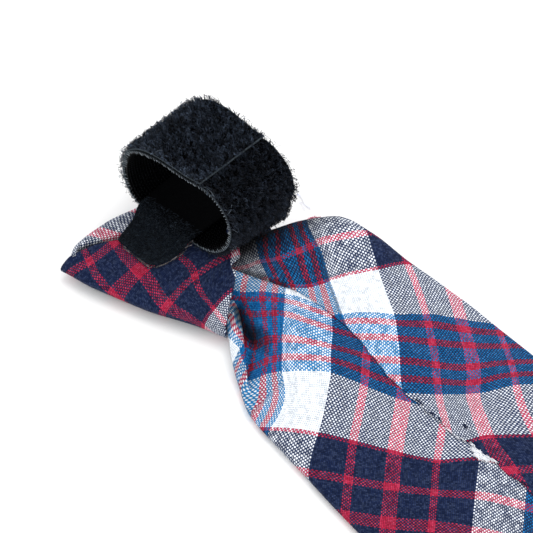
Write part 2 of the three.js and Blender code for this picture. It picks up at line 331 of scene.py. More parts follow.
def ribbons(name, paths, widths, turn, tint):
    """Flat strands along paths (strand, point, xyz), each with its own width, twist and lightness."""
    n, m = paths.shape[:2]
    widths, turn, tint = (np.broadcast_to(a, n) for a in (widths, turn, tint))
    rough = np.stack([np.cos(turn), np.sin(turn), 0.3 * np.sin(3 * turn)], axis=-1)[:, None, :]
    half = (widths / 2)[:, None, None] * unit(np.cross(unit(np.gradient(paths, axis=1)), rough))
    points = np.stack([paths - half, paths + half], axis=2).reshape(-1, 3)
    a = ((np.arange(n) * m)[:, None] + np.arange(m - 1)).ravel() * 2
    uv = np.repeat(np.stack([np.repeat(tint, m), np.tile(np.linspace(0, 1, m), n)], axis=-1), 2, axis=0)
    return make_object(name, points, np.stack([a, a + 1, a + 3, a + 2], axis=1), uv)


def cords(name, paths, thick, tint):
    """Round threads along paths (thread, point, xyz), thinner at both ends."""
    n, m = paths.shape[:2]
    thick, tint = (np.broadcast_to(a, n) for a in (thick, tint))
    ahead = unit(np.gradient(paths, axis=1))
    side = unit(np.cross(ahead, (0.1, 0.2, 1.0)))
    turn = (np.arange(6) * math.pi / 3)[:, None]
    ring = side[:, :, None] * np.cos(turn) + np.cross(side, ahead)[:, :, None] * np.sin(turn)
    radius = thick[:, None] / 2 * (1 - np.abs(np.linspace(-1, 1, m)) ** 6 * 0.7)
    points = (paths[:, :, None] + radius[..., None, None] * ring).reshape(-1, 3)
    t, k, q = (a.ravel() for a in np.meshgrid(np.arange(n), np.arange(m - 1), np.arange(6), indexing="ij"))
    a, b = (t * m + k) * 6 + q, (t * m + k) * 6 + (q + 1) % 6
    uv = np.repeat(np.stack([np.repeat(tint, m), np.ones(n * m)], axis=-1), 6, axis=0)
    return make_object(name, points, np.stack([a, b, b + 6, a + 6], axis=1), uv)


def strand_finish(name, dark, light, roughness=0.6):
    """Strands whose colour goes from dark to light by each one's own lightness."""
    fibre = Finish(name)
    own, tip = (fibre.part(fibre.uv("threads"), k) for k in (0, 1))
    colour = fibre.mix(own * (tip * 0.5 + 0.5), dark, light)
    return fibre.surface(colour, roughness, Sheen_Weight=0.02, Specular_IOR_Level=0.12)


# %% [markdown]
# ## The sett
#
# Tartan is a plain weave: every warp thread goes over and under every weft thread in turn. Both systems
# have nearly the same stripes in the same order, and the colours only mix by lying side by side: white
# crossed with navy looks grey, red crossed with white looks pink. The stripes are listed as the weaver lists
# them, colour and number of threads, for one repeat.

# %% The sett
YARN = {
    "white": (0.835, 0.875, 0.92),
    "navy": (0.0068, 0.0148, 0.056),
    "blue": (0.001, 0.168, 0.44),
    "red": (0.45, 0.016, 0.058),
}
NAVY_LINES = [("navy", 17), ("red", 4), ("navy", 18), ("red", 8), ("navy", 18), ("red", 4), ("navy", 17)]
BLUE_LINES = [("blue", 5), ("red", 4), ("blue", 6), ("red", 4), ("blue", 9), ("red", 4), ("blue", 6),
              ("red", 4), ("blue", 5)]
WHITE = 26
WARP = [*NAVY_LINES, ("white", WHITE), *BLUE_LINES, ("white", WHITE)]
WEFT = [("red", 2), ("navy", 18), *NAVY_LINES[1:-1], ("navy", 18), ("red", 2), ("white", 29), *BLUE_LINES,
        ("white", 29)]


def repeat(sett):
    return sum(count for _, count in sett)


def sett_stops(sett):
    """The sett as the stops of a ramp that keeps each colour until the next stop."""
    counts = [count for _, count in sett]
    return [(sum(counts[:k]) / repeat(sett), YARN[colour]) for k, (colour, _) in enumerate(sett)]


print("one repeat is", repeat(WARP), "warp threads and", repeat(WEFT), "weft threads")

# %% [markdown]
# ## The woven cloth
#
# The honest way to make a tartan is to colour each thread by its number and to show warp or weft in turn,
# like a chessboard. Each thread also gets a height, so the higher one shows, and the same height gives the
# bump. The same height also paints shade into the colour: the gaps between threads are painted dark and the
# crowns lighter. Loose fibres add a painted sheen on every colour. Real yarn is uneven, which random values
# per crossing and per small patch take care of. A flat printed pattern would miss the sparkle of all this.

# %% The woven cloth
# painted sheen, added on every colour of the cloth
FUZZ_SHEEN = (0.02, 0.026, 0.04)  # light that loose fibres catch on every colour
GAP_SHADE_TINT = (0.0, 0.005, 0.022)
RELIEF = 0.0001  # metres that a thread stands out


def bow(part):
    """A thread's round back: 0 at its two sides and 1 along its middle."""
    return 1 - (part * 2 - 1) * (part * 2 - 1)


def tartan(name):
    """Cloth woven thread by thread."""
    cloth = Finish(name)
    threads = cloth.uv("threads")
    # fold is painted shade from the shade_and_crush map, and crushed says how the threads bunch
    fold, crushed = (cloth.part(cloth.uv("shade_and_crush"), k) for k in (0, 1))
    wobble = (cloth.noise(threads, 0.3, 1.0) - 0.5) * 0.6
    bunched = crushed + 1  # where the cloth is crushed its threads bunch together
    across, along = ((cloth.part(threads, k) + wobble) / bunched for k in (0, 1))
    warp_number, weft_number = across.floor(), along.floor()
    warp, weft = (
        cloth.ramp((number + 0.5) * bunched % repeat(sett) / repeat(sett), "CONSTANT", sett_stops(sett))
        for number, sett in ((warp_number, WARP), (weft_number, WEFT)))
    # each thread's height: its round back, and its swing over and under the others
    uneven = cloth.chance(warp_number, weft_number)
    swing = (0.9 - (warp_number + weft_number) % 2 * 1.8) * (uneven * 0.9 + 0.5)
    back_warp, back_weft = bow(across - warp_number), bow(along - weft_number)
    # in some places the warp stands out over a few threads, in others the weft
    spot = cloth.chance((warp_number * 0.5).floor(), (weft_number * 0.4).floor(), 7.0)
    warp_height = back_warp + swing * 0.5 * back_weft + spot * 0.5
    weft_height = back_weft - swing * 0.5 * back_warp + 0.25
    top = warp_height.larger(weft_height)
    # painted shade between the threads: there the two colours darken each other, with a bluish tint
    both = cloth.node("Gamma", {}, {"Color": cloth.mix(1.0, warp, weft, "MULTIPLY"), "Gamma": 0.8})
    gap = cloth.rescale(top, 1.75, 0.55, 0.0, 1.0)
    colour = cloth.mix(gap, cloth.mix(weft_height > warp_height, warp, weft),
                       cloth.mix(1.0, both, GAP_SHADE_TINT, "ADD"))
    drawn_out = cloth.node("VectorMath", {"operation": "MULTIPLY"}, {0: threads, 1: (0.9, 0.12, 1)})
    slub = cloth.noise(drawn_out, 1.0)
    fleck = (slub + uneven + spot) * 0.14
    # painted shade: the crowns of the threads are lighter and their sides darker, and fold darkens the cloth
    # deep in folds and under the strap
    crown = cloth.rescale(top, 0.6, 1.7, 0.4, 0.96)
    open_to_light = 1 - fold  # little light reaches the bottom of a fold
    lit = (crown + fleck) * open_to_light
    shade = cloth.node("CombineColor", {}, {0: lit, 1: lit, 2: lit})
    shaded = cloth.mix(1.0, colour, shade, "MULTIPLY")
    # painted sheen of loose fibres, dimmed by the painted shade
    sheen_wisps = uneven * uneven * open_to_light
    return cloth.surface(cloth.mix(sheen_wisps, shaded, FUZZ_SHEEN, "ADD"), 0.9, Normal=cloth.bump(1.0, RELIEF, top),
                         Sheen_Weight=0.03, Sheen_Roughness=0.5, Specular_IOR_Level=0.1)


tie_cloth, knot_cloth, roll_cloth = (tartan(name) for name in ("blade_cloth", "knot_cloth", "roll_cloth"))
print("the cloth's material has", len(tie_cloth.node_tree.nodes), "nodes")

# %% [markdown]
# ## The blade
#
# The blade is a flattened tube: a near flap and a far flap on the back, folded edges, and the front on the
# table. The far flap ends in a turned hem that laps over the near flap and is slip-stitched to it. Near the
# knot the cloth is gathered: the far flap heaps up in a pleat, and the near flap has a deep tuck. It could
# be simulated, but the folds of a tie are pressed and sewn in, so they are drawn: one cross section after
# another, each worked out from a short table and a few named folds.

# %% The blade's sizes
EDGE = 2.6  # thickness of the folded side edges
CLOTH = 0.2  # thickness of the cloth
HEM_WIDTH = 6.0
HEM_RISE = 0.42  # the hem's two layers stand this far over the flap below them
HEM_ALONG = (25, 33, 168, 184)  # x where the hem starts to lap, is full, fades and ends
NECK_LIFT = 1.8  # the gathered end stands this far off the table
BLADE = [
    # x, near edge y, far edge y, crown height, y of the far flap's free edge
    [22, 28.6, 38, 5.0, 26.5],
    [26, 26, 46.5, 5.2, 27.3],
    [30, 23.6, 54.5, 5.7, 28.6],
    [34, 21.4, 59.9, 6.3, 30],
    [38, 18.5, 61.6, 6.9, 31.3],
    [42, 15.9, 62.3, 7.2, 33.2],
    [46, 13.2, 62.9, 7.4, 35.2],
    [52, 10.1, 63.7, 7.5, 36.7],
    [60, 6.8, 64.6, 7.5, 37],
    [66, 6.3, 65.1, 7.5, 36.3],
    [72, 6.0, 65.6, 7.4, 35.3],
    [80, 5.6, 65.8, 7.3, 34.6],
    [90, 5, 66.2, 7.2, 34.4],
    [96, 4.8, 66.4, 7.2, 34.9],
    [100, 4.7, 66.5, 7.1, 35.7],
    [108, 4.5, 66.7, 7.0, 36.5],
    [118, 4.3, 66.9, 6.9, 37],
    [135, 3.8, 67.4, 6.6, 36],
    [160, 3.4, 67.9, 6, 35.5],
    [168, 4.6, 66.6, 5.8, 35.5],
    [176, 12.2, 58.9, 5.4, 35.5],
    [184, 20.2, 50.8, 4.9, 35.5],
    [192, 28.2, 42.8, 4.4, 35.5],
    [196, 31.9, 39.1, 4, 35.5],
    [197.6, 33.4, 37.6, 3.8, 35.5],
]
PLEAT = {"height": 2.4, "along": (23, 29, 35, 52), "shoulder": 4}
TUCK_LIP = [
    # x, y of the lip's edge
    [28, 24.6],
    [35, 22.9],
    [38, 21.5],
    [40.7, 20.0],
    [43.4, 18.0],
    [46.8, 15.7],
    [50.3, 13.6],
    [56, 10.5],
]
TUCK = {"along": (30, 37.5, 45, 58), "depth": 4.6, "width": 4.2, "wall": 0.6, "lip": 0.9, "overhang": 1.9}
CREASE = {"along": (38, 42, 45, 53), "depth": 1.4, "y": 19.8, "width": 1.5}  # a shallow fold beside the tuck
TACK = (96.0, 38.2)  # a small stitch that pulls a dimple into the far flap
DIMPLE = {"depth": 0.55, "spread": 1.6}
SEAM_STITCHES = [
    # x, distance over the free edge, length, degrees from the seam
    [84.9, 0.0, 3.2, 4],
    [89.0, 0.1, 2.0, 18],
    [91.3, 0.1, 1.8, -14],
    [99.8, 0.0, 1.6, 10],
    [107.0, 0.1, 1.9, -6],
    [114.6, 0.0, 1.7, 9],
    [122.0, 0.0, 1.9, -10],
    [129.3, 0.1, 1.6, 7],
    [137.1, 0.0, 1.8, 12],
    [145.0, 0.1, 1.7, -9],
    [152.6, 0.0, 1.9, 6],
]
RIPPLES = [
    # height, length of the wave, direction in degrees, phase
    [0.12, 23.0, 20, 0.4],
    [0.10, 15.0, 75, 1.9],
    [0.07, 9.5, -35, 3.1],
    [0.05, 6.5, 50, 5.2],
]


def pleat_rise(x, y, far):
    """How far the gathered cloth stands over the far flap, away from the blade and the far edge."""
    shoulder = np.sqrt(np.clip((far - y) / PLEAT["shoulder"], 0, 1))
    return PLEAT["height"] * window(x, *PLEAT["along"]) * shoulder


def tuck(x, y):
    """How far the cloth moves down and sideways at the tuck, whose near lip hangs over it."""
    aside = y - look_up(TUCK_LIP, x, 1)
    ends = window(x, *TUCK["along"])
    groove = TUCK["depth"] * hump(aside, 0, np.where(aside > 0, TUCK["width"], TUCK["wall"]))
    lip = TUCK["lip"] * hump(aside, -1.8, 1.2)
    crease = CREASE["depth"] * window(x, *CREASE["along"]) * hump(y, CREASE["y"], CREASE["width"])
    return (groove - lip) * ends + crease, TUCK["overhang"] * ends * hump(aside, -0.9, 0.8)


def ripple(x, y):
    """The slight unevenness of pressed cloth, and the dimple at the tack."""
    total = -DIMPLE["depth"] * np.exp(-((x - TACK[0]) ** 2 + (y - TACK[1]) ** 2) / DIMPLE["spread"])
    for height, length, degrees, phase in RIPPLES:
        way = math.radians(degrees)
        place = x * math.cos(way) + y * math.sin(way)
        total = total + height * np.sin(place * 2 * math.pi / length + phase)
    return total


def seam_line(x):
    """The far flap's free edge: it wanders a little and is drawn in at each stitch."""
    wander = 0.14 * math.sin(x * 0.9) + 0.08 * math.sin(x * 1.9 + 1)
    drawn = sum(0.35 * math.exp(-(((x - stitch[0]) / 1.3) ** 2)) for stitch in SEAM_STITCHES)
    return float(look_up(BLADE, x, 4)) + (wander + drawn) * float(smooth(56, 64, x))


def blade_section(x, columns):
    """One cross section as y, z: near flap from under the hem, near edge, front, far edge, far flap."""
    near, far, crown = (float(look_up(BLADE, x, k)) for k in (1, 2, 3))
    end = seam_line(x)
    bend = EDGE / 2
    base = NECK_LIFT * (1 - float(smooth(42, 54, x)))
    middle, half = (near + far) / 2, (far - near) / 2 - bend
    lapped = float(window(x, *HEM_ALONG))
    under = end + HEM_WIDTH * lapped - 0.6 * (1 - lapped)
    n_near, n_edge, n_front, n_far, n_hem = columns

    def back(y):
        u = np.clip(np.abs(y - middle) / half, 0, 1)
        return base + EDGE + (crown - base - EDGE) * (1 - u ** 2.4) + ripple(x, y) * smooth(0, 0.3, 1 - u)

    def flap(y):
        rise = HEM_RISE * lapped * (1 - smooth(under, under + 8, y))
        return back(y) + rise + pleat_rise(x, y, far)

    y = under + (middle - half - under) * np.sin(np.linspace(0, 1, n_near) * math.pi / 2) ** 0.9
    below = pleat_rise(x, y, far) * smooth(end - 13, end - 1, y)
    sunk, shifted = tuck(x, y)
    path = [np.c_[y + shifted, np.maximum(back(y) + below - sunk, base + 0.4)]]
    turn = np.linspace(0, math.pi, n_edge + 2)[1:-1]
    path.append(np.c_[middle - half - bend * np.sin(turn), base + bend + bend * np.cos(turn)])
    path.append(np.c_[np.linspace(middle - half, middle + half, n_front), np.full(n_front, base)])
    path.append(np.c_[middle + half + bend * np.sin(turn), base + bend - bend * np.cos(turn)])
    y = end + (middle + half - end) * np.cos(np.linspace(0, 1, n_far) * math.pi / 2)
    path.append(np.c_[y, flap(y)])
    # the hem turns under the flap
    fold = np.linspace(0, 1, n_hem + 1)[1:]
    gap = 0.36 * lapped + 0.05
    turn = np.minimum(fold * 3, 1) * math.pi
    y = end + np.maximum(fold * 3 - 1, 0) / 2 * (HEM_WIDTH - 1) * lapped
    path.append(np.c_[y - gap / 2 * np.sin(turn), flap(y) - gap / 2 * (1 - np.cos(turn))])
    return np.concatenate(path)


print("the blade is worked out from", len(BLADE), "places along it")

# %% [markdown]
# ## The blade's grid
#
# The sections are laid at stations along the tie, closer together where the cloth is gathered, and joined
# to one grid. The length of cloth from its hidden end to each point is kept, because the pattern follows it.

# %% The blade's grid
COLUMNS = (96, 7, 34, 60, 12)  # points on the near flap, an edge, the front, the far flap and the hem
NECK, GATHERED, PLAIN, TIP = 22, 56, 156, 197.6
STATIONS = np.concatenate([np.arange(NECK, GATHERED, 0.5), np.arange(GATHERED, PLAIN, 0.85),
                           np.arange(PLAIN, TIP, 1.4), [TIP]])
sections = np.stack([blade_section(float(x), COLUMNS) for x in STATIONS])
station_of = np.broadcast_to(STATIONS[:, None, None], (*sections.shape[:2], 1))
blade_grid = np.concatenate([station_of, sections], axis=2)
steps = np.linalg.norm(np.diff(sections, axis=1), axis=2)
girth = np.concatenate([np.zeros((len(STATIONS), 1)), np.cumsum(steps, axis=1)], axis=1)
print("the blade's grid is", blade_grid.shape[:2], "and its cloth is", round(float(girth[120, -1]), 1),
      "mm round")

# %% [markdown]
# ## Where the tartan's lines cross the blade
#
# Cloth that has been cut on the bias, folded and pressed never has straight stripes. Where a few stripes
# cross each other is noted for each flap, as warp thread, weft thread and place, and a springy sheet
# through those pins gives the threads everywhere else. The two flaps have their own pins, because the seam
# between them breaks the pattern.

# %% Where the tartan's lines cross the blade
PIN_GIVE = 1.5
NEAR_PINS = [
    # warp thread, weft thread, x, y
    [19, -46, 68.0, 34.5],
    [19, 1, 81.5, 17.5],
    [19, 22, 87.0, 11.0],
    [19, 46, 92.5, 5.0],
    [43, 1, 90.0, 22.0],
    [43, 46, 100.5, 10.0],
    [67, 1, 98.0, 27.5],
    [67, 46, 108.0, 16.0],
    [86, 1, 103.5, 34.0],
    [112, 22, 118.5, 34.0],
    [0, 0, 74.5, 14.0],
    [0, -29, 65.5, 26.0],
    [0, -56, 58.5, 33.5],
    [-26, 0, 65.0, 7.5],
    [-26, -29, 57.0, 18.5],
    [-26, -46, 51.0, 24.0],
    [-26, -59, 46.5, 28.5],
    [-26, -76, 43.0, 32.0],
    [-33, -3, 63.5, 7.5],
    [-33, -36, 53.5, 19.5],
    [-33, -59, 45.0, 27.0],
    [-33, -80, 40.5, 31.5],
    [-43, -17, 58.5, 11.5],
    [-43, -36, 52.5, 18.0],
    [-43, -46, 48.5, 21.5],
    [-43, -59, 43.5, 25.5],
    [-43, -69, 40.5, 27.5],
    [-43, -82, 38.0, 30.5],
    [-56, -22, 51.5, 11.0],
    [-56, -46, 46.5, 20.0],
    [-56, -69, 36.0, 25.5],
    [-56, -87, 33.0, 29.0],
    [-66, -31, 47.5, 15.5],
    [-73, -29, 46.0, 16.0],
    [-76, -36, 44.0, 18.0],
    [-87, -36, 38.5, 19.5],
]
FAR_PINS = [
    [19, -46, 80.0, 44.5],
    [19, -69, 70.5, 52.0],
    [19, -106, 53.0, 64.5],
    [19, -29, 86.0, 39.5],
    [19, -8, 93.5, 35.0],
    [33, 1, 99.5, 35.5],
    [43, 1, 101.0, 39.5],
    [43, 22, 110.0, 37.0],
    [43, -29, 90.5, 46.0],
    [43, -36, 89.0, 48.0],
    [43, -69, 76.5, 57.5],
    [51, 1, 103.0, 42.0],
    [67, -4, 106.0, 49.0],
    [67, -29, 95.0, 56.0],
    [67, -36, 93.0, 57.5],
    [67, -69, 82.0, 64.5],
    [0, -31, 79.5, 35.0],
    [0, -76, 63.5, 48.0],
    [0, -106, 51.0, 55.0],
    [0, -127, 42.0, 60.0],
    [-26, -76, 55.5, 38.0],
    [-26, -106, 47.0, 42.5],
    [-26, -127, 37.5, 47.0],
    [-26, -138, 32.5, 49.0],
    [-43, -106, 45.5, 38.0],
    [-43, -127, 36.5, 42.5],
    [-43, -139, 30.5, 46.0],
    [-56, -127, 35.0, 37.5],
    [-66, -106, 40.5, 32.5],
    [-66, -127, 34.0, 35.0],
    [-66, -140, 27.5, 40.0],
    [-73, -106, 37.5, 31.5],
    [-73, -127, 32.5, 34.0],
    [-73, -141, 25.5, 38.5],
    [-85, -127, 31.5, 31.0],
]
FAR_SHIFT = (-185, 197)  # going round the front, the far flap is one repeat on from the near one
NEAR_FLAP = slice(0, COLUMNS[0] + COLUMNS[1] // 2)
FAR_FLAP = slice(sum(COLUMNS[:3]) + COLUMNS[1] + COLUMNS[1] // 2, None)
FREE_EDGE = sum(COLUMNS[:4]) + COLUMNS[1] - 1
# on each flap, a place is how far along the tie it is and how far over the cloth from a line along the tie
near_over = blade_grid[:, :1, 1] - girth
far_over = blade_grid[:, FREE_EDGE:FREE_EDGE + 1, 1] + girth[:, FREE_EDGE:FREE_EDGE + 1] - girth


def flap_threads(pins, flap, over, shift=(0, 0)):
    """The threads of one flap, from the pins on it."""
    places, values = [], []
    shown = slice(flap.start, min(flap.stop or FREE_EDGE + 1, FREE_EDGE + 1))
    for warp_thread, weft_thread, x, y in pins:
        row = int(np.argmin(np.abs(STATIONS - x)))
        section = blade_grid[row, shown]
        column = int(np.argmin(np.abs(section[:, 1] - y) - 0.05 * section[:, 2]))
        places.append((x, over[row, flap][column]))
        values.append((warp_thread + shift[0], weft_thread + shift[1]))
    where = np.stack([blade_grid[:, flap, 0], over[:, flap]], axis=-1)
    return thin_plate(places, values, where.reshape(-1, 2), PIN_GIVE).reshape(where.shape)


blade_threads = np.empty((*girth.shape, 2))
blade_threads[:, NEAR_FLAP] = flap_threads(NEAR_PINS, NEAR_FLAP, near_over)
blade_threads[:, FAR_FLAP] = flap_threads(FAR_PINS, FAR_FLAP, far_over, FAR_SHIFT)
# the front's threads run evenly from one edge to the other
first, last = NEAR_FLAP.stop - 1, FAR_FLAP.start
front = slice(first, last + 1)
front_width = girth[:, last] - girth[:, first]
share = ((girth[:, front] - girth[:, first:first + 1]) / front_width[:, None])[..., None]
blade_threads[:, front] = (blade_threads[:, first:first + 1] * (1 - share)
                           + blade_threads[:, last:last + 1] * share)
pull = (blade_threads[:, last] - blade_threads[:, first]) / front_width[:, None]
print("threads for a millimetre across the front:", np.linalg.norm(pull, axis=1)[[60, 120, 180]].round(2))

# %% [markdown]
# ## Painted shade in the folds, and crushed cloth
#
# Deep folds of a tie are nearly black, darker than lamps alone make them in a model, because real cloth
# touches itself there. So every place also says how much painted shade darkens it: in the tuck, as a painted
# shadow under the strap, and where the far flap's free edge turns down to the gathers. In the gathers the
# blue stripes are darkened a little too. Where the cloth is gathered it is crushed too, and its threads bunch
# together.

# %% Painted shade on the blade's cloth, and where it is crushed
blade_shade_and_crush = np.zeros((*girth.shape, 2))
for row, x in enumerate(STATIONS):
    aside = blade_grid[row, NEAR_FLAP, 1] - look_up(TUCK_LIP, x, 1)
    # the tuck's painted shade is a dark line that starts beside its lip and runs away from it towards the
    # seam
    shade_line = 0.9 + 5.8 * smooth(38, 51, x)
    reach = smooth(34, 37.5, x) * (1 - 0.4 * smooth(44, 50, x)) * (1 - smooth(49.5, 54.5, x))
    blade_shade_and_crush[row, NEAR_FLAP, 0] = 0.95 * reach * np.exp(-np.abs((aside - shade_line) / 2.3) ** 2.5)
    # painted shade where the far flap's free edge turns down, and a painted shadow under the strap
    over_edge = blade_grid[row, FAR_FLAP, 1] - blade_grid[row, FAR_FLAP, 1].min()
    turned_down_shade = 0.82 * (1 - smooth(0.6, 2.2, over_edge)) * (1 - smooth(41, 48, x))
    strap_shadow = 0.92 * (1 - smooth(25.5, 40, x))
    blade_shade_and_crush[row, FAR_FLAP, 0] = np.maximum(strap_shadow, turned_down_shade)
GATHERS_END = 60  # past this x the cloth lies flat again
# in the gathers the blue stripes are darkened a little as well, and the cloth there is crushed
for flap, blue_start in ((NEAR_FLAP, -WHITE), (FAR_FLAP, FAR_SHIFT[0] - WHITE)):
    warp_thread = blade_threads[:, flap, 0]
    gathered = (warp_thread < blue_start) & (STATIONS[:, None] < GATHERS_END)
    blue_group = gathered & (warp_thread > blue_start - repeat(BLUE_LINES))
    blade_shade_and_crush[:, flap, 0] = np.maximum(blade_shade_and_crush[:, flap, 0], 0.2 * blue_group)
    blade_shade_and_crush[:, flap, 1] = 0.25 * gathered
blade = cloth_from_grid("blade_cloth", blade_grid, blade_threads, CLOTH, (110, 36, 3.5), blade_shade_and_crush)
finish_piece(blade, tie_cloth, "blade")

# %% [markdown]
# ## The seam's stitches
#
# The hem is closed by hand with dark slip stitches. Most of their length is inside the cloth, and only short
# dashes lie over the edge. Each one is a thin round cord that dives into the cloth at both ends.

# %% The seam's stitches
def on_blade(x, y):
    """The height of the blade's back."""
    section = blade_grid[int(np.argmin(np.abs(STATIONS - x)))]
    return section[np.argmin(np.abs(section[:, 1] - y) - 0.1 * section[:, 2]), 2]


def stitch(x, y, long, degrees, stand, dive, top=None):
    """A straight stitch that dives into the cloth at both its ends."""
    way, step = math.radians(degrees), np.linspace(-0.5, 0.5, 9)
    xs, ys = x + long * step * math.cos(way), y + long * step * math.sin(way)
    top = max(on_blade(a, b) for a, b in zip(xs, ys)) if top is None else top
    return np.stack([xs, ys, top + stand - dive * np.abs(2 * step) ** 4], axis=-1)


SEWING = (0.006, 0.011, 0.035)
stitches = [stitch(x, seam_line(x) + over, long, degrees, 0.22, 0.9)
            for x, over, long, degrees in SEAM_STITCHES]
# the tack is two short stitches, one over the other
stitches += [stitch(*TACK, 1.5, degrees, 0.35, 0.5, on_blade(*TACK)) for degrees in (-35, 20)]
sewing = cords("seam_stitches", np.array(stitches), 0.28, 0.0)
finish_piece(sewing, strand_finish("sewing_thread", SEWING, SEWING, 0.7), "blade")

# %% [markdown]
# ## Frayed threads
#
# Beside the tack, where the cloth was pulled, the hem's raw edge has let go some white threads. On the far
# edge, where the strap rubs on it, a few red ones have come loose. A texture could hint at them, but they
# stand off the cloth, so they are cords too, scattered about the worn place by chance.

# %% Frayed threads
lint = np.random.default_rng(3)
FRAYED, RUBBED = 150, 30
FRAY_X = 103.4  # where the hem is frayed most


def scattered(x, y, way, long):
    """Short straight threads: how far along its thread each point is, and its x and y."""
    step = np.linspace(-0.5, 0.5, 5) * long[:, None]
    return step, x[:, None] + step * np.cos(way)[:, None], y[:, None] + step * np.sin(way)[:, None]


def heights(x, y):
    return np.array([on_blade(a, b) for a, b in zip(x, y)])[:, None]


x = np.where(lint.uniform(0, 1, FRAYED) < 0.9, lint.normal(103.2, 1.6, FRAYED), lint.uniform(94, 99, FRAYED))
reach = 0.2 + 1.5 * hump(x, FRAY_X, 2.2)
y = np.array([seam_line(a) for a in x]) - lint.uniform(0.05, 1, FRAYED) * reach
step, xs, ys = scattered(x, y, lint.normal(0, 0.35, FRAYED), lint.uniform(0.7, 2.4, FRAYED))
arch = 0.2 + lint.uniform(0, 0.35, FRAYED)[:, None] * (1 - np.linspace(-1, 1, 5) ** 2)
fray = cords("seam_fray", np.stack([xs, ys, heights(x, y - 0.6) + arch], axis=-1),
             lint.uniform(0.1, 0.2, FRAYED), lint.uniform(0.5, 1, FRAYED))
finish_piece(fray, strand_finish("white_fibres", (0.5, 0.53, 0.58), (0.86, 0.88, 0.92), 0.9),
             "blade")

rub = lint.uniform(0, 1, RUBBED)
way, long = lint.normal(1.29, 0.45, RUBBED), lint.uniform(0.6, 1.7, RUBBED)
inward = lint.uniform(0.1, 1.0, RUBBED)
x, y = 29.4 + 1.1 * rub + 0.96 * inward, 51.9 + 3.8 * rub - 0.28 * inward
step, xs, ys = scattered(x, y, way, long)
edge_fray = cords("edge_fray", np.stack([xs, ys, heights(x, y) + 0.2 - 0.1 * step], axis=-1),
                  lint.uniform(0.12, 0.2, RUBBED), lint.uniform(0, 1, RUBBED))
finish_piece(edge_fray, strand_finish("red_fibres", (0.32, 0.02, 0.07), (0.75, 0.38, 0.45), 0.9),
             "blade")

# %% [markdown]
# ## The knot
#
# The knot is a strip of the same cloth wrapped once round the neck, so its section is a flattened tube that
# tapers towards the blade. Its wide end is not cut straight: the back opens in a shallow bow, where the
# inner cloth rolls out.

# %% The knot's sizes
KNOT_CENTRE = 28.0
KNOT_CLOTH = 0.9  # thickness of the wrap and of the roll
ROUND_BACK, ROUND_FRONT = 2.6, 2.9  # 2 would be an ellipse, and more is squarer
KNOT_TAPER = [
    # along, half width, height
    [-4, 28.9, 6.5],
    [0, 28, 6.5],
    [22, 22.8, 6.5],
    [31, 20.6, 7.3],
    [44, 17.5, 8],
]
WRAP_ENDS = [
    # degrees round (0 far side, 90 back, 180 near side, 270 front), start, end
    [0, 0, 10],
    [28, 0, 10],
    [36, 0.3, 11],
    [44, 1.3, 12],
    [52, 2.4, 13],
    [60, 4.4, 15],
    [75, 9.5, 22],
    [90, 12, 32.4],
    [105, 9.5, 36.4],
    [112, 7, 37.5],
    [120, 4.4, 38.4],
    [128, 2.4, 39.5],
    [136, 1.3, 40.3],
    [144, 0.3, 41],
    [152, 0, 41.4],
    [180, 0, 42.4],
    [270, 0, 41],
    [300, 0, 36],
    [330, 0, 13],
    [360, 0, 10],
]


def signed_power(value, power):
    return np.sign(value) * np.abs(value) ** power


def knot_ring(degrees, along):
    """A point on the outside of the wrapped cloth, as along, across, height."""
    turn = np.radians(degrees)
    half, height = look_up(KNOT_TAPER, along, 1), look_up(KNOT_TAPER, along, 2)
    near_side = half - 0.7 + 0.9 * smooth(0, 10, along) - 1.3 * smooth(22, 38, along)
    half = np.where(np.cos(turn) > 0, half, near_side)
    power = 2 / np.where(np.sin(turn) >= 0, ROUND_BACK, ROUND_FRONT)
    across = KNOT_CENTRE + half * signed_power(np.cos(turn), power)
    return np.stack([along, across, height / 2 * (1 + signed_power(np.sin(turn), power))], axis=-1)


def knot_back(along, across):
    """Height of the knot's back."""
    half, height = look_up(KNOT_TAPER, along, 1), look_up(KNOT_TAPER, along, 2)
    u = np.clip(np.abs(across - KNOT_CENTRE) / half, 0, 1)
    return height / 2 * (1 + (1 - u ** ROUND_BACK) ** (1 / ROUND_BACK))


print("the knot is", 2 * KNOT_TAPER[1][1], "mm wide at its wide end")

# %% [markdown]
# ## The wrapped cloth
#
# The wrap's grid goes once round the knot, starting under it, and its pattern is pinned like the blade's.
# Only the near half shows enough stripes to pin. Away from the pins the cloth runs on evenly, held by
# anchors that follow the pins' plain trend, because a free thin plate would swing wildly there.

# %% The wrapped cloth
AROUND, STEPS = 181, 64
ROW_DEGREES = 360 / (AROUND - 1)
UNDER = 270  # degrees round of the place where the wrap's grid starts and ends
KNOT_PINS = [
    # warp thread, weft thread, along, degrees round
    [5, 23, 2.7, 180],
    [19, 22, 4.6, 142],
    [19, 46, 15.5, 180],
    [43, 46, 15.7, 128],
    [43, 70, 27.2, 156],
    [43, 91, 36.9, 180],
    [67, 70, 27.4, 112],
    [67, 91, 36.7, 136],
    [86, 70, 29.7, 90],
    [86, 90, 36.5, 108],
    [97, 72, 32.0, 88],
]
degrees = (np.linspace(0, 360, AROUND) + UNDER) % 360
degrees[-1] = UNDER - 0.001
start, end = look_up(WRAP_ENDS, degrees, 1), look_up(WRAP_ENDS, degrees, 2)
alongs = start[:, None] + (end - start)[:, None] * np.linspace(0, 1, STEPS)
wrap_grid = knot_ring(np.broadcast_to(degrees[:, None], alongs.shape), alongs)
lengths = np.linalg.norm(np.diff(wrap_grid[..., 1:], axis=0), axis=2)
round_wrap = -np.concatenate([np.zeros((1, STEPS)), np.cumsum(lengths, axis=0)])
round_wrap -= round_wrap[3 * AROUND // 4]
places, values = [], []
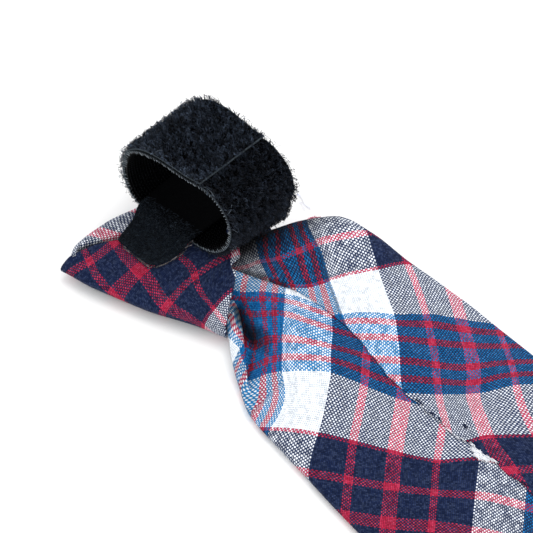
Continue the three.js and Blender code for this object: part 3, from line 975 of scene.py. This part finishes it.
for warp_thread, weft_thread, along, degrees_round in KNOT_PINS:
    row = int(round((degrees_round - UNDER) % 360 / ROW_DEGREES))
    step = int(np.argmin(np.abs(wrap_grid[row, :, 0] - along)))
    places.append((along, round_wrap[row, step]))
    values.append((warp_thread, weft_thread))
trend = np.linalg.lstsq(np.c_[np.ones(len(places)), places], np.array(values, float), rcond=None)[0]
girth_ends = float(round_wrap[0].mean()), float(round_wrap[-1].mean())
far_places = (*girth_ends, *np.linspace(*girth_ends, 9)[5:8])
anchors = [(along, float(place)) for along in (0, 12, 38) for place in far_places]
places += anchors
values += [tuple(np.array([1, *anchor]) @ trend) for anchor in anchors]
where = np.stack([wrap_grid[..., 0], round_wrap], axis=-1).reshape(-1, 2)
wrap_threads = thin_plate(places, values, where).reshape(*wrap_grid.shape[:2], 2)
KNOT_INSIDE = from_knot([15, KNOT_CENTRE, 3.4])
wrap = cloth_from_grid("knot_wrap_cloth", from_knot(wrap_grid), wrap_threads, KNOT_CLOTH, KNOT_INSIDE)
finish_piece(wrap, knot_cloth, "knot_wrap")

# %% [markdown]
# ## The rolled cloth in the knot's wide end
#
# The knot's wide end isn't hemmed. A second piece of the same cloth rolls over it and goes back inside, and
# a dark slit shows where it dives under the wrapped cloth, painted on the roll as shade. A roll like this is
# a profile, a flat leg, a nose and a flat leg back, moved across the knot, so it is written as one grid.

# %% The rolled cloth in the knot's wide end
ROLL_LINE = [
    # across, along
    [3.5, 0],
    [8.5, -2.3],
    [17, -1.3],
    [28, 1.8],
    [39, -1.3],
    [47.5, -2.3],
    [52.5, 0],
]
MOUTH = [
    # across, along of the wrap's edge
    [4.1, 0],
    [6.3, 1.3],
    [8.8, 2.2],
    [10.9, 3.5],
    [12.9, 4.9],
    [14.7, 6.5],
    [20, 9.5],
    [28, 12],
]
ROLL_FROM, ROLL_TO = 4.4, 51.6  # across the knot
ROLL_END = 15  # how far along, inside the knot, both legs end
CREST = 2.6  # the roll stands this much higher in front of the knot's mouth than inside it
ROWS, LEG, NOSE = 90, 30, 20  # points across the knot, on a leg and round the nose
ROLL_PIN = {"warp": 99, "weft": 46, "across": 12.7, "round": 2.5}  # thread numbers, and their places
SLANT = math.radians(15)
across = np.linspace(ROLL_FROM, ROLL_TO, ROWS)
low = 2.1 + 1.2 * (1 - smooth(0, 5, np.minimum(across - ROLL_FROM, ROLL_TO - across)))
mouth = np.maximum(knot_back(np.zeros_like(across), across) - 0.7 - CREST, low + 0.3)
edge_line = look_up(MOUTH, np.minimum(across, 2 * KNOT_CENTRE - across), 1)[:, None]
bend = (mouth + CREST - low) / 2
line = (look_up(ROLL_LINE, across, 1) + 0.5 + bend)[:, None]
across, low, mouth, bend = (values[:, None] for values in (across, low, mouth, bend))
leg = np.linspace(0, 1, LEG) ** 1.3
turn = np.linspace(0, math.pi, NOSE + 2)[1:-1]
lower = np.stack(np.broadcast_arrays(ROLL_END + (line - ROLL_END) * leg, low), axis=-1)
nose = np.stack([line - bend * np.sin(turn), low + bend * (1 - np.cos(turn))], axis=-1)
inward = (ROLL_END - line) * leg
sinking = smooth(-2.6, -0.5, line + inward - edge_line)
upper = np.stack([line + inward, mouth + CREST * (1 - sinking)], axis=-1)
profile = np.concatenate([lower, nose, upper], axis=1)
narrowing = look_up(KNOT_TAPER, np.maximum(profile[..., 0], 0), 1) / KNOT_TAPER[1][1]
roll_across = KNOT_CENTRE + (across - KNOT_CENTRE) * narrowing
roll_grid = np.stack([profile[..., 0], roll_across, profile[..., 1]], axis=-1)
lengths = np.linalg.norm(np.diff(profile, axis=1), axis=2)
round_roll = np.concatenate([np.zeros((ROWS, 1)), np.cumsum(lengths, axis=1)], axis=1)
round_roll -= round_roll[:, LEG + NOSE // 2, None]
from_pin = across - ROLL_PIN["across"]
roll_threads = np.stack([
    ROLL_PIN["warp"] + (round_roll - ROLL_PIN["round"]) * 2.2 + from_pin * 0.3,
    ROLL_PIN["weft"] + (from_pin * math.cos(SLANT) - round_roll * math.sin(SLANT)) * 2.36], axis=-1)
# painted shade: the upper leg darkens where it sinks under the wrap's edge, which makes the dark slit
roll_shade_and_crush = np.zeros((*profile.shape[:2], 2))
roll_shade_and_crush[:, LEG + NOSE:, 0] = 0.9 * smooth(0.1, 0.6, sinking) * (across < 44)
roll = cloth_from_grid("knot_roll_cloth", from_knot(roll_grid), roll_threads, KNOT_CLOTH, KNOT_INSIDE,
                       roll_shade_and_crush)
finish_piece(roll, roll_cloth, "knot_roll")

# %% [markdown]
# ## The strap
#
# The strap is hook-and-loop tape that is woven with loop pile on one side and hooks on the other, so it
# closes on itself anywhere. Seen from its side it is a loop that goes round once and then laps over its own
# start, so its line is drawn once and every point of the strap is found from it: how many turns along, how
# far across, and how far off the line.

# %% The strap's path
LEAN = 0.113  # how far the strap runs along the knot for each millimetre across it
STRAP = {"width": 20.0, "near": 24.7, "ground": 0.28, "layer": 1.1, "overlap": 0.4, "climb": (0.89, 0.99),
         "tucked": 0.78}
TURNS = 1 + STRAP["overlap"]
FLOOR = 7.9  # height of the strap where it lies on the knot
LOOP_POINTS = 600
STRAP_LOOP = [
    # along, height
    [1.6, 12],
    [0.6, 17.5],
    [2.6, 24.4],
    [6.8, 28],
    [12.5, 29.8],
    [20, 30.3],
    [26, 30.8],
    [30.8, 27.4],
    [32.7, 21.5],
    [31, 15.2],
    [25.4, 9.7],
    [19, FLOOR],
    [13.5, FLOOR],
    [8, FLOOR],
    [4, 9.1],
]
BULGES = [
    # turns along, reach in turns, height, power of the share of the width it grows with (0 is even)
    [0.27, 0.09, 2.2, 1.5],  # it turns over at the knot's wide end, most at its far edge
    [0.2, 0.09, 1.15, 0],  # it stands fuller on its upper side
    [0.7, 0.085, 1.3, 0],  # it sags where it comes down in front of the knot's narrow end
    [0.72, 0.055, 3.7, 1],  # and it sags most at its far edge
]


def between(first, last, start, end, value):
    """The point at a value on the way from the first point, at start, to the last one, at end."""
    return (end - value) / (end - start) * first + (value - start) / (end - start) * last


def closed_curve(points, count):
    """Evenly spaced points of a centripetal curve through points that come back to the first."""
    points = np.asarray(points, float)
    pieces = []
    for i in range(len(points)):
        p = [points[(i + k) % len(points)] for k in (-1, 0, 1, 2)]
        t = [0.0]
        for a, b in zip(p, p[1:]):
            t.append(t[-1] + np.linalg.norm(b - a) ** 0.5)
        s = np.linspace(t[1], t[2], 40, endpoint=False)[:, None]
        for reach in (1, 2):
            p = [between(p[k], p[k + 1], t[k], t[k + reach], s) for k in range(len(p) - 1)]
        pieces.append(between(*p, t[1], t[2], s))
    line = np.concatenate([*pieces, pieces[0][:1]])
    place = np.concatenate([[0], np.cumsum(np.linalg.norm(np.diff(line, axis=0), axis=1))])
    even = np.linspace(0, place[-1], count, endpoint=False)
    return np.stack([np.interp(even, place, line[:, k]) for k in range(2)], axis=1), place[-1]


loop_line, loop_length = closed_curve(STRAP_LOOP, LOOP_POINTS)
forward = unit(np.roll(loop_line, -1, axis=0) - np.roll(loop_line, 1, axis=0))
outward = np.stack([-forward[:, 1], forward[:, 0]], axis=1)
print("the strap's loop is", round(loop_length, 1), "mm round")


def strap_point(turns, across, stand):
    """A point of the strap, by turns along it, how far across it is and how far off the inner face."""
    turns, across, stand = np.broadcast_arrays(np.asarray(turns, float), across, stand)
    place = (turns % 1) * LOOP_POINTS
    i = place.astype(int) % LOOP_POINTS
    f = (place - np.floor(place))[..., None]
    j = (i + 1) % LOOP_POINTS
    base = loop_line[i] * (1 - f) + loop_line[j] * f
    out = outward[i] * (1 - f) + outward[j] * f
    share = np.maximum(across, 0) / STRAP["width"]
    bulge = sum(height * share ** power * hump(turns % 1, place, reach)
                for place, reach, height, power in BULGES)
    # the strap's hidden start lies close under the layer that covers it
    close = STRAP["tucked"] * (1 - smooth(0.14, 0.24, turns))
    away = stand + STRAP["layer"] * smooth(*STRAP["climb"], turns) + close + bulge
    along = base[..., 0] + out[..., 0] * away + LEAN * across
    return np.stack([along, STRAP["near"] + across, base[..., 1] + out[..., 1] * away], axis=-1)


# %% [markdown]
# ## The tape
#
# The ground of the strap is a thin woven tape. It is nearly black, with fine ribs across it and a paler cut
# edge. It could be modelled yarn by yarn, but the pile and the hooks hide nearly all of it, so a formula over
# the tape's own millimetres is enough: it draws the ribs and the edge, and paints shade on the edge where the
# strap lies under its own end.

# %% The tape
TAPE_BLACK, TAPE_EDGE = (0.0003, 0.0004, 0.0008), (0.075, 0.094, 0.11)


def black_tape():
    """The tape's ground, from millimetres along and across it."""
    ground = Finish("strap_ground")
    places = ground.uv("threads")
    x, y = (ground.part(places, k) for k in (0, 1))
    rib = abs((x * 1.3) % 1 - 0.5) * 2
    fleck = ground.noise(places, 2.5, 4.0, 0.7)
    side = abs(y - STRAP["width"] / 2) > STRAP["width"] / 2 - 0.15
    edge = side.larger(x > loop_length * TURNS - 0.3)
    # painted shade on the pale edge where the strap's own end lies over it
    shaded_under_end = x < loop_length * STRAP["overlap"]
    light = ground.mix(edge * (1 - shaded_under_end * 0.6), TAPE_BLACK, TAPE_EDGE)
    return ground.surface(ground.mix(fleck * 0.6, light, TAPE_BLACK), 0.8,
                          Normal=ground.bump(0.8, 0.0002, rib + fleck * 0.5), Specular_IOR_Level=0.02)


turns = np.linspace(0, TURNS, 420)[:, None]
width = np.linspace(0, STRAP["width"], 22)
outer_face = strap_point(turns, width, STRAP["ground"])
strap_uv = np.stack(np.broadcast_arrays(turns * loop_length, width), axis=-1)
inside_loop = from_knot([16, 34.7, 19])
tape = cloth_from_grid("strap_tape", from_knot(outer_face), strap_uv, STRAP["ground"], inside_loop)
finish_piece(tape, black_tape(), "strap")

# %% [markdown]
# ## The loops of the soft side
#
# The soft side of a hook-and-loop tape is a brushed pile of fine loops, and from a little way off it is
# felt-like, dark, and hairy at its outline. Hair particles would do it, but they are lost in an export, so
# each loop is a real ribbon that leaves the tape and comes back towards it. The loops tangle into little
# clumps that lean one way and catch the light together, which makes the surface sparkle unevenly. That light
# is painted: whole clumps, and a few single loops, are coloured paler, more so towards their ends, and the
# free part of the strap is coloured darker as painted shade.

# %% Pile
rng = np.random.default_rng(7)
PILE, CLUMP = 20000, 0.62
CLUMP_ROWS, CLUMP_COLUMNS = 400, 48
# pile shows on the outermost layer, and on the part that the overlap leaves free
pile_turns = rng.uniform(STRAP["overlap"] - 0.02, TURNS, PILE)
pile_across = rng.uniform(-0.1, STRAP["width"] + 0.1, PILE)
clumps = rng.uniform(0, 1, (3, CLUMP_ROWS, CLUMP_COLUMNS))
clump_row = (pile_turns * loop_length / CLUMP + rng.normal(0, 0.2, PILE)).astype(int) % CLUMP_ROWS
clump_column = (pile_across / CLUMP + 2 + rng.normal(0, 0.2, PILE)).astype(int) % CLUMP_COLUMNS
lean_clump, high_clump, glint_clump = clumps[:, clump_row, clump_column]
lean_way = lean_clump * 2 * math.pi + rng.normal(0, 1.0, PILE)
reach = rng.uniform(0.3, 1.1, PILE)[:, None]
height = rng.uniform(0.4, 1.1, PILE) + 0.45 * high_clump + 0.6 * (rng.uniform(0, 1, PILE) > 0.93)
point = np.linspace(0, 1, 5)
arc = np.sin(point * math.pi * rng.uniform(0.55, 0.95, PILE)[:, None])
curl = rng.normal(0, 0.2, (PILE, 5))
pile_paths = strap_point(
    pile_turns[:, None] + (np.cos(lean_way)[:, None] * reach * point + curl * point) / loop_length,
    pile_across[:, None] + np.sin(lean_way)[:, None] * reach * point,
    STRAP["ground"] + height[:, None] * arc)
# painted shade: the free part is coloured darker than the end that lies over it
out_of_shade = np.where(pile_turns > 1, 1.0, 0.42)
pile_width, pile_twist = rng.uniform(0.06, 0.17, PILE), rng.uniform(0, 2 * math.pi, PILE)
# painted highlight: glinting clumps and a few single loops get a paler tint, stronger towards their ends
pile = ribbons("strap_pile", from_knot(pile_paths), pile_width, pile_twist,
               (0.25 * rng.uniform(0, 1, PILE) ** 3 + 0.75 * glint_clump ** 3) * out_of_shade)
finish_piece(pile, strand_finish("pile_strands", (0.0015, 0.0022, 0.0045), (0.14, 0.19, 0.28)),
             "strap")

# %% [markdown]
# ## The hooks
#
# Inside the loop is the hook side: straight rows of stiff little hooks, with every second row facing the
# other way. They hardly catch any light, but the rows can just be made out, so they are modelled too.

# %% Hooks
HOOK_PITCH, HOOK_COLUMNS = 0.82, 0.8
hook_lift = np.array([0, 0.35, 0.65, 0.8, 0.72, 0.5])
hook_bow = np.array([0, 0.02, 0.06, 0.2, 0.36, 0.38])
rows = np.arange(0, loop_length * TURNS, HOOK_PITCH)
columns = np.arange(0.25, STRAP["width"], HOOK_COLUMNS)
hook_turn, hook_across = (a.reshape(-1, 1) for a in np.meshgrid(rows / loop_length, columns, indexing="ij"))
way = np.where(np.round(hook_across / HOOK_COLUMNS) % 2 == 0, 1, -1)
hook_paths = strap_point(hook_turn + hook_bow * way / loop_length, hook_across, -hook_lift + 0.05)
hooks = ribbons("strap_hooks", from_knot(hook_paths), 0.22, 1.2, rng.uniform(0, 1, len(hook_turn)))
finish_piece(hooks, strand_finish("hook_strands", (0.0006, 0.0008, 0.0012), (0.006, 0.0075, 0.01), 0.5),
             "strap")

# %% [markdown]
# ## The cut edge
#
# Tape is slit to its width from a wider one, straight through a row of hooks. Along the edge the cut stems
# stand out as a comb of pale teeth, which outlines the dark opening. They belong to the inner layer.

# %% The teeth along the strap's edge
TOOTH_PITCH = 0.85
teeth_turn = np.arange(0, loop_length, TOOTH_PITCH) / loop_length
TEETH = len(teeth_turn)
teeth_turn += rng.normal(0, 0.06, TEETH) / loop_length
teeth_drop = np.linspace(0, 1, 4) * rng.uniform(0.5, 1.05, TEETH)[:, None]
teeth_slant = rng.normal(0.25, 0.2, TEETH)[:, None]
teeth_paths = strap_point(teeth_turn[:, None] + teeth_drop * teeth_slant / loop_length,
                          -0.12 + 0.1 * teeth_drop, STRAP["ground"] * 0.9 - teeth_drop)
teeth = ribbons("strap_teeth", from_knot(teeth_paths), rng.uniform(0.1, 0.18, TEETH), 1.7,
                rng.uniform(0.4, 1, TEETH))
finish_piece(teeth, strand_finish("teeth_strands", (0.03, 0.036, 0.044), (0.42, 0.49, 0.55), 0.7),
             "strap")

# %% [markdown]
# ## Lint
#
# Hook-and-loop tape collects fibres. A few pale ones are caught along its edge, and two have come to lie on
# the table beside the knot. They are the same ribbons as the pile, only longer and lighter.

# %% Loose fibres
STRAYS = 16
stray_turn = 1 + rng.uniform(-0.68, 0.4, STRAYS)
stray_way = rng.uniform(-0.5, 2.2, STRAYS)
stray_step = np.linspace(0, 1, 7) * rng.uniform(1.2, 3.2, STRAYS)[:, None]
stray_paths = strap_point(stray_turn[:, None] + np.cos(stray_way)[:, None] * stray_step / loop_length,
                          0.1 + np.sin(stray_way)[:, None] * stray_step,
                          STRAP["ground"] + 0.7 + 0.5 * np.sin(stray_step * 1.3))
strays = ribbons("strap_strays", from_knot(stray_paths), 0.13, rng.uniform(0, 6.3, STRAYS),
                 rng.uniform(0.3, 0.9, STRAYS))
finish_piece(strays, strand_finish("stray_fibres", (0.03, 0.04, 0.05), (0.35, 0.42, 0.5), 0.8),
             "strap")

step = np.linspace(0, 1, 12)
lying = 0.35 + 0 * step  # height of a fibre that lies on the table
long_one = np.stack([18.9 + 5.6 * step, 58.5 - 0.7 * step ** 2 + 0.3 * np.sin(step * 7), lying], axis=-1)
short_one = np.stack([21 + 2.9 * step, 57.3 - 0.4 * step + 0.25 * np.sin(step * 6), lying], axis=-1)
floor_lint = ribbons("loose_thread", np.array([long_one, short_one]), (0.28, 0.2), (0.3, 0.9), (0.9, 0.6))
finish_piece(floor_lint, strand_finish("loose_fibres", (0.4, 0.42, 0.6), (0.62, 0.66, 0.86), 0.9),
             "strap")

# %% [markdown]
# ## The felt tab
#
# A strip of thick felt lies over the bottom of the strap inside the loop and is sewn to the knot on both
# sides, so the strap can't slide off. A cloth simulation could drape it, but its shape is plain enough to
# write down: it lies on the strap or on the knot, whichever is higher, and droops between them. Felt has no
# weave: its fibres lie every way, so its finish is noise, and the end that shows is brushed and dusty. Inside
# the loop the felt is painted nearly black, as shade.

# %% The tab
TAB = {"thick": 1.2, "near": 13.3, "far": 48.0, "droop": 4.2, "gap": 0.45, "margin": 0.6}
TAB_SIDES = [
    # across, along on the side of the knot's wide end, along on the blade's side
    [13.3, 7.0, 16.4],
    [13.7, 6.55, 17.5],
    [14.6, 6.35, 18.5],
    [17.3, 6.0, 20.0],
    [20, 5.5, 20.7],
    [24.5, 4.6, 21.2],
    [30, 4.8, 21.8],
    [47, 7.2, 23.6],
    [48, 8.0, 22.8],
]


def tab_point(across, share):
    """A point on the tab's top, by its place across the knot and its share of the tab's half width."""
    across, share = np.broadcast_arrays(across, share)
    left, right = look_up(TAB_SIDES, across, 1), look_up(TAB_SIDES, across, 2)
    half = (right - left) / 2
    along = (left + right) / 2 + half * share
    to_tip = np.minimum(across - TAB["near"], TAB["far"] - across)
    # the near end is cut a little askew
    across = across - 0.055 * (along - 13) * (1 - smooth(14, 24, across))
    # its long sides curl up inside the strap
    in_strap = along - LEAN * (across - STRAP["near"])
    curl = 0.04 * np.maximum(0, in_strap - 18.5) ** 2 + 0.07 * np.maximum(0, 8 - in_strap) ** 2
    over = FLOOR + curl + TAB["gap"] + TAB["thick"]
    on_knot = knot_back(along, across) + TAB["gap"] + TAB["thick"]
    near, far = STRAP["near"] - TAB["margin"], STRAP["near"] + STRAP["width"] + TAB["margin"]
    inside = window(across, near - TAB["droop"], near, far, far + TAB["droop"])
    height = on_knot + (np.maximum(over, on_knot) - on_knot) * inside
    rim = (1 - np.abs(share)) * half
    rounding = 0.4 * (1 - np.clip(np.minimum(rim, to_tip) / 0.8, 0, 1)) ** 2
    lumps = 0.08 * np.sin(along * 1.7 + across * 0.6) * np.sin(across * 1.3 - along * 0.4)
    return np.stack([along, across, height - rounding + lumps], axis=-1)


def felt():
    """Matted felt, painted nearly black as shade inside the loop, and brushed, dusty felt at the end that
    shows.
    """
    body = Finish("felt")
    places = body.node("TexCoord", {}, {}, 3)
    mat = body.noise(places, 900, 6.0, 0.75)
    patch = body.noise(places, 180, 3.0, 0.6)
    across_knot = body.part(body.uv("threads"), 0)
    # painted shade: inside the loop the felt is coloured nearly black; the end out of it is dusty
    out_of_shade = body.rescale(across_knot, 27.0, 19.0, 0.0, 1.0)
    fibre = mat * 0.6 + patch * 0.4
    shaded_felt = body.mix(fibre, (0.0003, 0.0004, 0.0007), (0.0008, 0.001, 0.0016))
    dusty = body.ramp(fibre, "LINEAR", [(0.3, (0.002, 0.003, 0.0046)), (0.72, (0.011, 0.0165, 0.026))])
    return body.surface(body.mix(out_of_shade, shaded_felt, dusty), 0.95, Normal=body.bump(1.0, 0.0004, mat + patch),
                        Specular_IOR_Level=0.04)


tab_across = (TAB["near"] + (TAB["far"] - TAB["near"]) * np.linspace(0, 1, 110))[:, None]
tab_share = np.sin(np.linspace(-1, 1, 46) * math.pi / 2)
tab_grid = tab_point(tab_across, tab_share)
tab_uv = np.stack(np.broadcast_arrays(tab_across, tab_share * 8), axis=-1)
tab = cloth_from_grid("tab_felt", from_knot(tab_grid), tab_uv, TAB["thick"], (16, 30, -500))
finish_piece(tab, felt(), "strap_tab")

# %% [markdown]
# ## The fibres of the felt
#
# Felt is matted from short fibres, so a smooth sheet looks like rubber. Thousands of short, flat-lying
# ribbons break up its surface where it shows and has been brushed.

# %% The felt's fibres
FIBRES = 4200
HALF_TAB = 7  # about half the tab's width, to turn millimetres into a share of it
fibre_across = (TAB["near"] + 0.2 + rng.beta(1.0, 1.5, FIBRES) * 14)[:, None]
fibre_share = rng.uniform(-0.99, 0.99, FIBRES)[:, None]
way = rng.uniform(0, 2 * math.pi, FIBRES)[:, None]
long = rng.uniform(0.3, 1.0, FIBRES)[:, None]
step = np.linspace(-0.5, 0.5, 5)
arch = 0.25 - step ** 2
sideways = rng.normal(0, 0.25, FIBRES)[:, None] * arch * long
fibre_paths = tab_point(
    np.clip(fibre_across + np.cos(way) * long * step - np.sin(way) * sideways, TAB["near"], TAB["far"]),
    np.clip(fibre_share + (np.sin(way) * long * step + np.cos(way) * sideways) / HALF_TAB, -1.02, 1.02))
fibre_paths[..., 2] += 0.03 + rng.uniform(0, 0.14, FIBRES)[:, None] * arch * 4
fibres = ribbons("tab_fibres", from_knot(fibre_paths), rng.uniform(0.05, 0.11, FIBRES),
                 rng.uniform(0, 2 * math.pi, FIBRES), rng.uniform(0, 1, FIBRES) ** 2)
finish_piece(fibres, strand_finish("felt_fibres", (0.0035, 0.0055, 0.0085), (0.045, 0.062, 0.085), 0.9),
             "strap_tab")

# %% [markdown]
# ## The felt's cut edge
#
# A few pale fibres show where the shears have cut the felt: along its near end, and up the side that faces
# the blade. They could be drawn on as a pale line, but a cut edge is ragged. One random number places each
# fibre along that line: the lower part of its range is the near end, and the rest is the side.

# %% The felt's cut edge
CUT_FIBRES = 130
ON_END = 0.45  # this share of them is on the near end
edge_place = rng.uniform(0, 1, CUT_FIBRES)
on_end = edge_place < ON_END
edge_across = np.where(on_end, TAB["near"] + 0.02, TAB["near"] + (edge_place - ON_END) * 20)
edge_share = np.where(on_end, edge_place / ON_END * 1.6 - 0.6, 1.0)
edge_start = tab_point(edge_across, edge_share)[:, None]
step = np.linspace(-0.5, 0.5, 4)
edge_long = rng.uniform(0.5, 2.2, CUT_FIBRES)[:, None]
edge_paths = edge_start + np.stack(np.broadcast_arrays(
    np.where(on_end, 1.0, 0.25)[:, None] * step * edge_long + 0.12,
    np.where(on_end, -0.06, 1.0)[:, None] * step * edge_long - 0.12,
    rng.uniform(-1.0, -0.1, CUT_FIBRES)[:, None]), axis=-1)
edge_paths += rng.normal(0, 0.06, edge_paths.shape)
cut = ribbons("tab_cut_fibres", from_knot(edge_paths), rng.uniform(0.06, 0.16, CUT_FIBRES),
              rng.uniform(0, 2 * math.pi, CUT_FIBRES), rng.uniform(0, 1, CUT_FIBRES) ** 2.5)
finish_piece(cut, strand_finish("cut_fibres", (0.006, 0.007, 0.009), (0.5, 0.46, 0.47), 0.9),
             "strap_tab")

# %% [markdown]
# ## Table and light
#
# The tie lies on a plain white table in a bright, soft studio: white light from all round, and one large
# lamp from behind and to the right that gives the folds their shadows.

# %% The studio
TABLE_HALF = 3.0  # metres
floor_mesh = bpy.data.meshes.new("table")
maker = bmesh.new()
bmesh.ops.create_grid(maker, x_segments=1, y_segments=1, size=TABLE_HALF)
maker.to_mesh(floor_mesh)
maker.free()
table = bpy.data.objects.new("table", floor_mesh)
table.location.z = cad_low.z
bpy.context.scene.collection.objects.link(table)
paint = Finish("table_paint")
table.data.materials.append(paint.surface((0.95, 0.95, 0.95, 1), 0.9, Specular_IOR_Level=0.1))
table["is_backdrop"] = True

world = bpy.data.worlds.new("studio")
world.use_nodes = True
colour, strength = world.node_tree.nodes["Background"].inputs[:2]
colour.default_value, strength.default_value = (1, 1, 1, 1), 1.12
bpy.context.scene.world = world
bpy.context.scene.view_settings.view_transform = "Standard"


def aim(name, data, place, way):
    """Puts a lamp or a camera at a place, in metres, looking a certain way."""
    item = bpy.data.objects.new(name, data)
    item.location = place
    item.rotation_mode = "QUATERNION"
    item.rotation_quaternion = way.to_track_quat("-Z", "Y")
    bpy.context.scene.collection.objects.link(item)
    return item


key = bpy.data.lights.new("key", "AREA")
key.size, key.energy = 1.0, 6.5
key_place = Vector((0.0, 0.62, 1.0))
aim("key", key, key_place, -key_place)
print("the key lamp is", key.size, "m wide and gives", key.energy, "W")

# %% [markdown]
# ## The camera
#
# It looks down at the back of the tie from the side of the knot, with a moderately long lens.

# %% The camera
AZIMUTH, ELEVATION, DISTANCE = math.radians(48), math.radians(54), 0.45
LENS = 126.64165  # millimetres
AIMED_AT = np.array([30.14, 38.27])  # the place on the table in the middle of the view, as drawn
back = Vector((math.sin(AZIMUTH) * math.cos(ELEVATION), -math.cos(AZIMUTH) * math.cos(ELEVATION),
               math.sin(ELEVATION)))
target = Vector((*((AIMED_AT + SHIFT[:2]) * MM), 0))
lens = bpy.data.cameras.new("camera")
lens.lens, lens.sensor_width = LENS, 36
lens.clip_start, lens.clip_end = 0.01, 20
camera = aim("camera", lens, target + back * DISTANCE, -back)
bpy.context.scene.camera = camera
print("the camera is at", [round(a, 3) for a in camera.location])

# %% [markdown]
# ## Sizes
#
# The size of what was built is written down next to the size of the solid part, to compare them.

# %% Sizes and the end
bpy.context.view_layer.update()
low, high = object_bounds()
print("the visual model is", [round(side / MM, 1) for side in high - low], "mm")
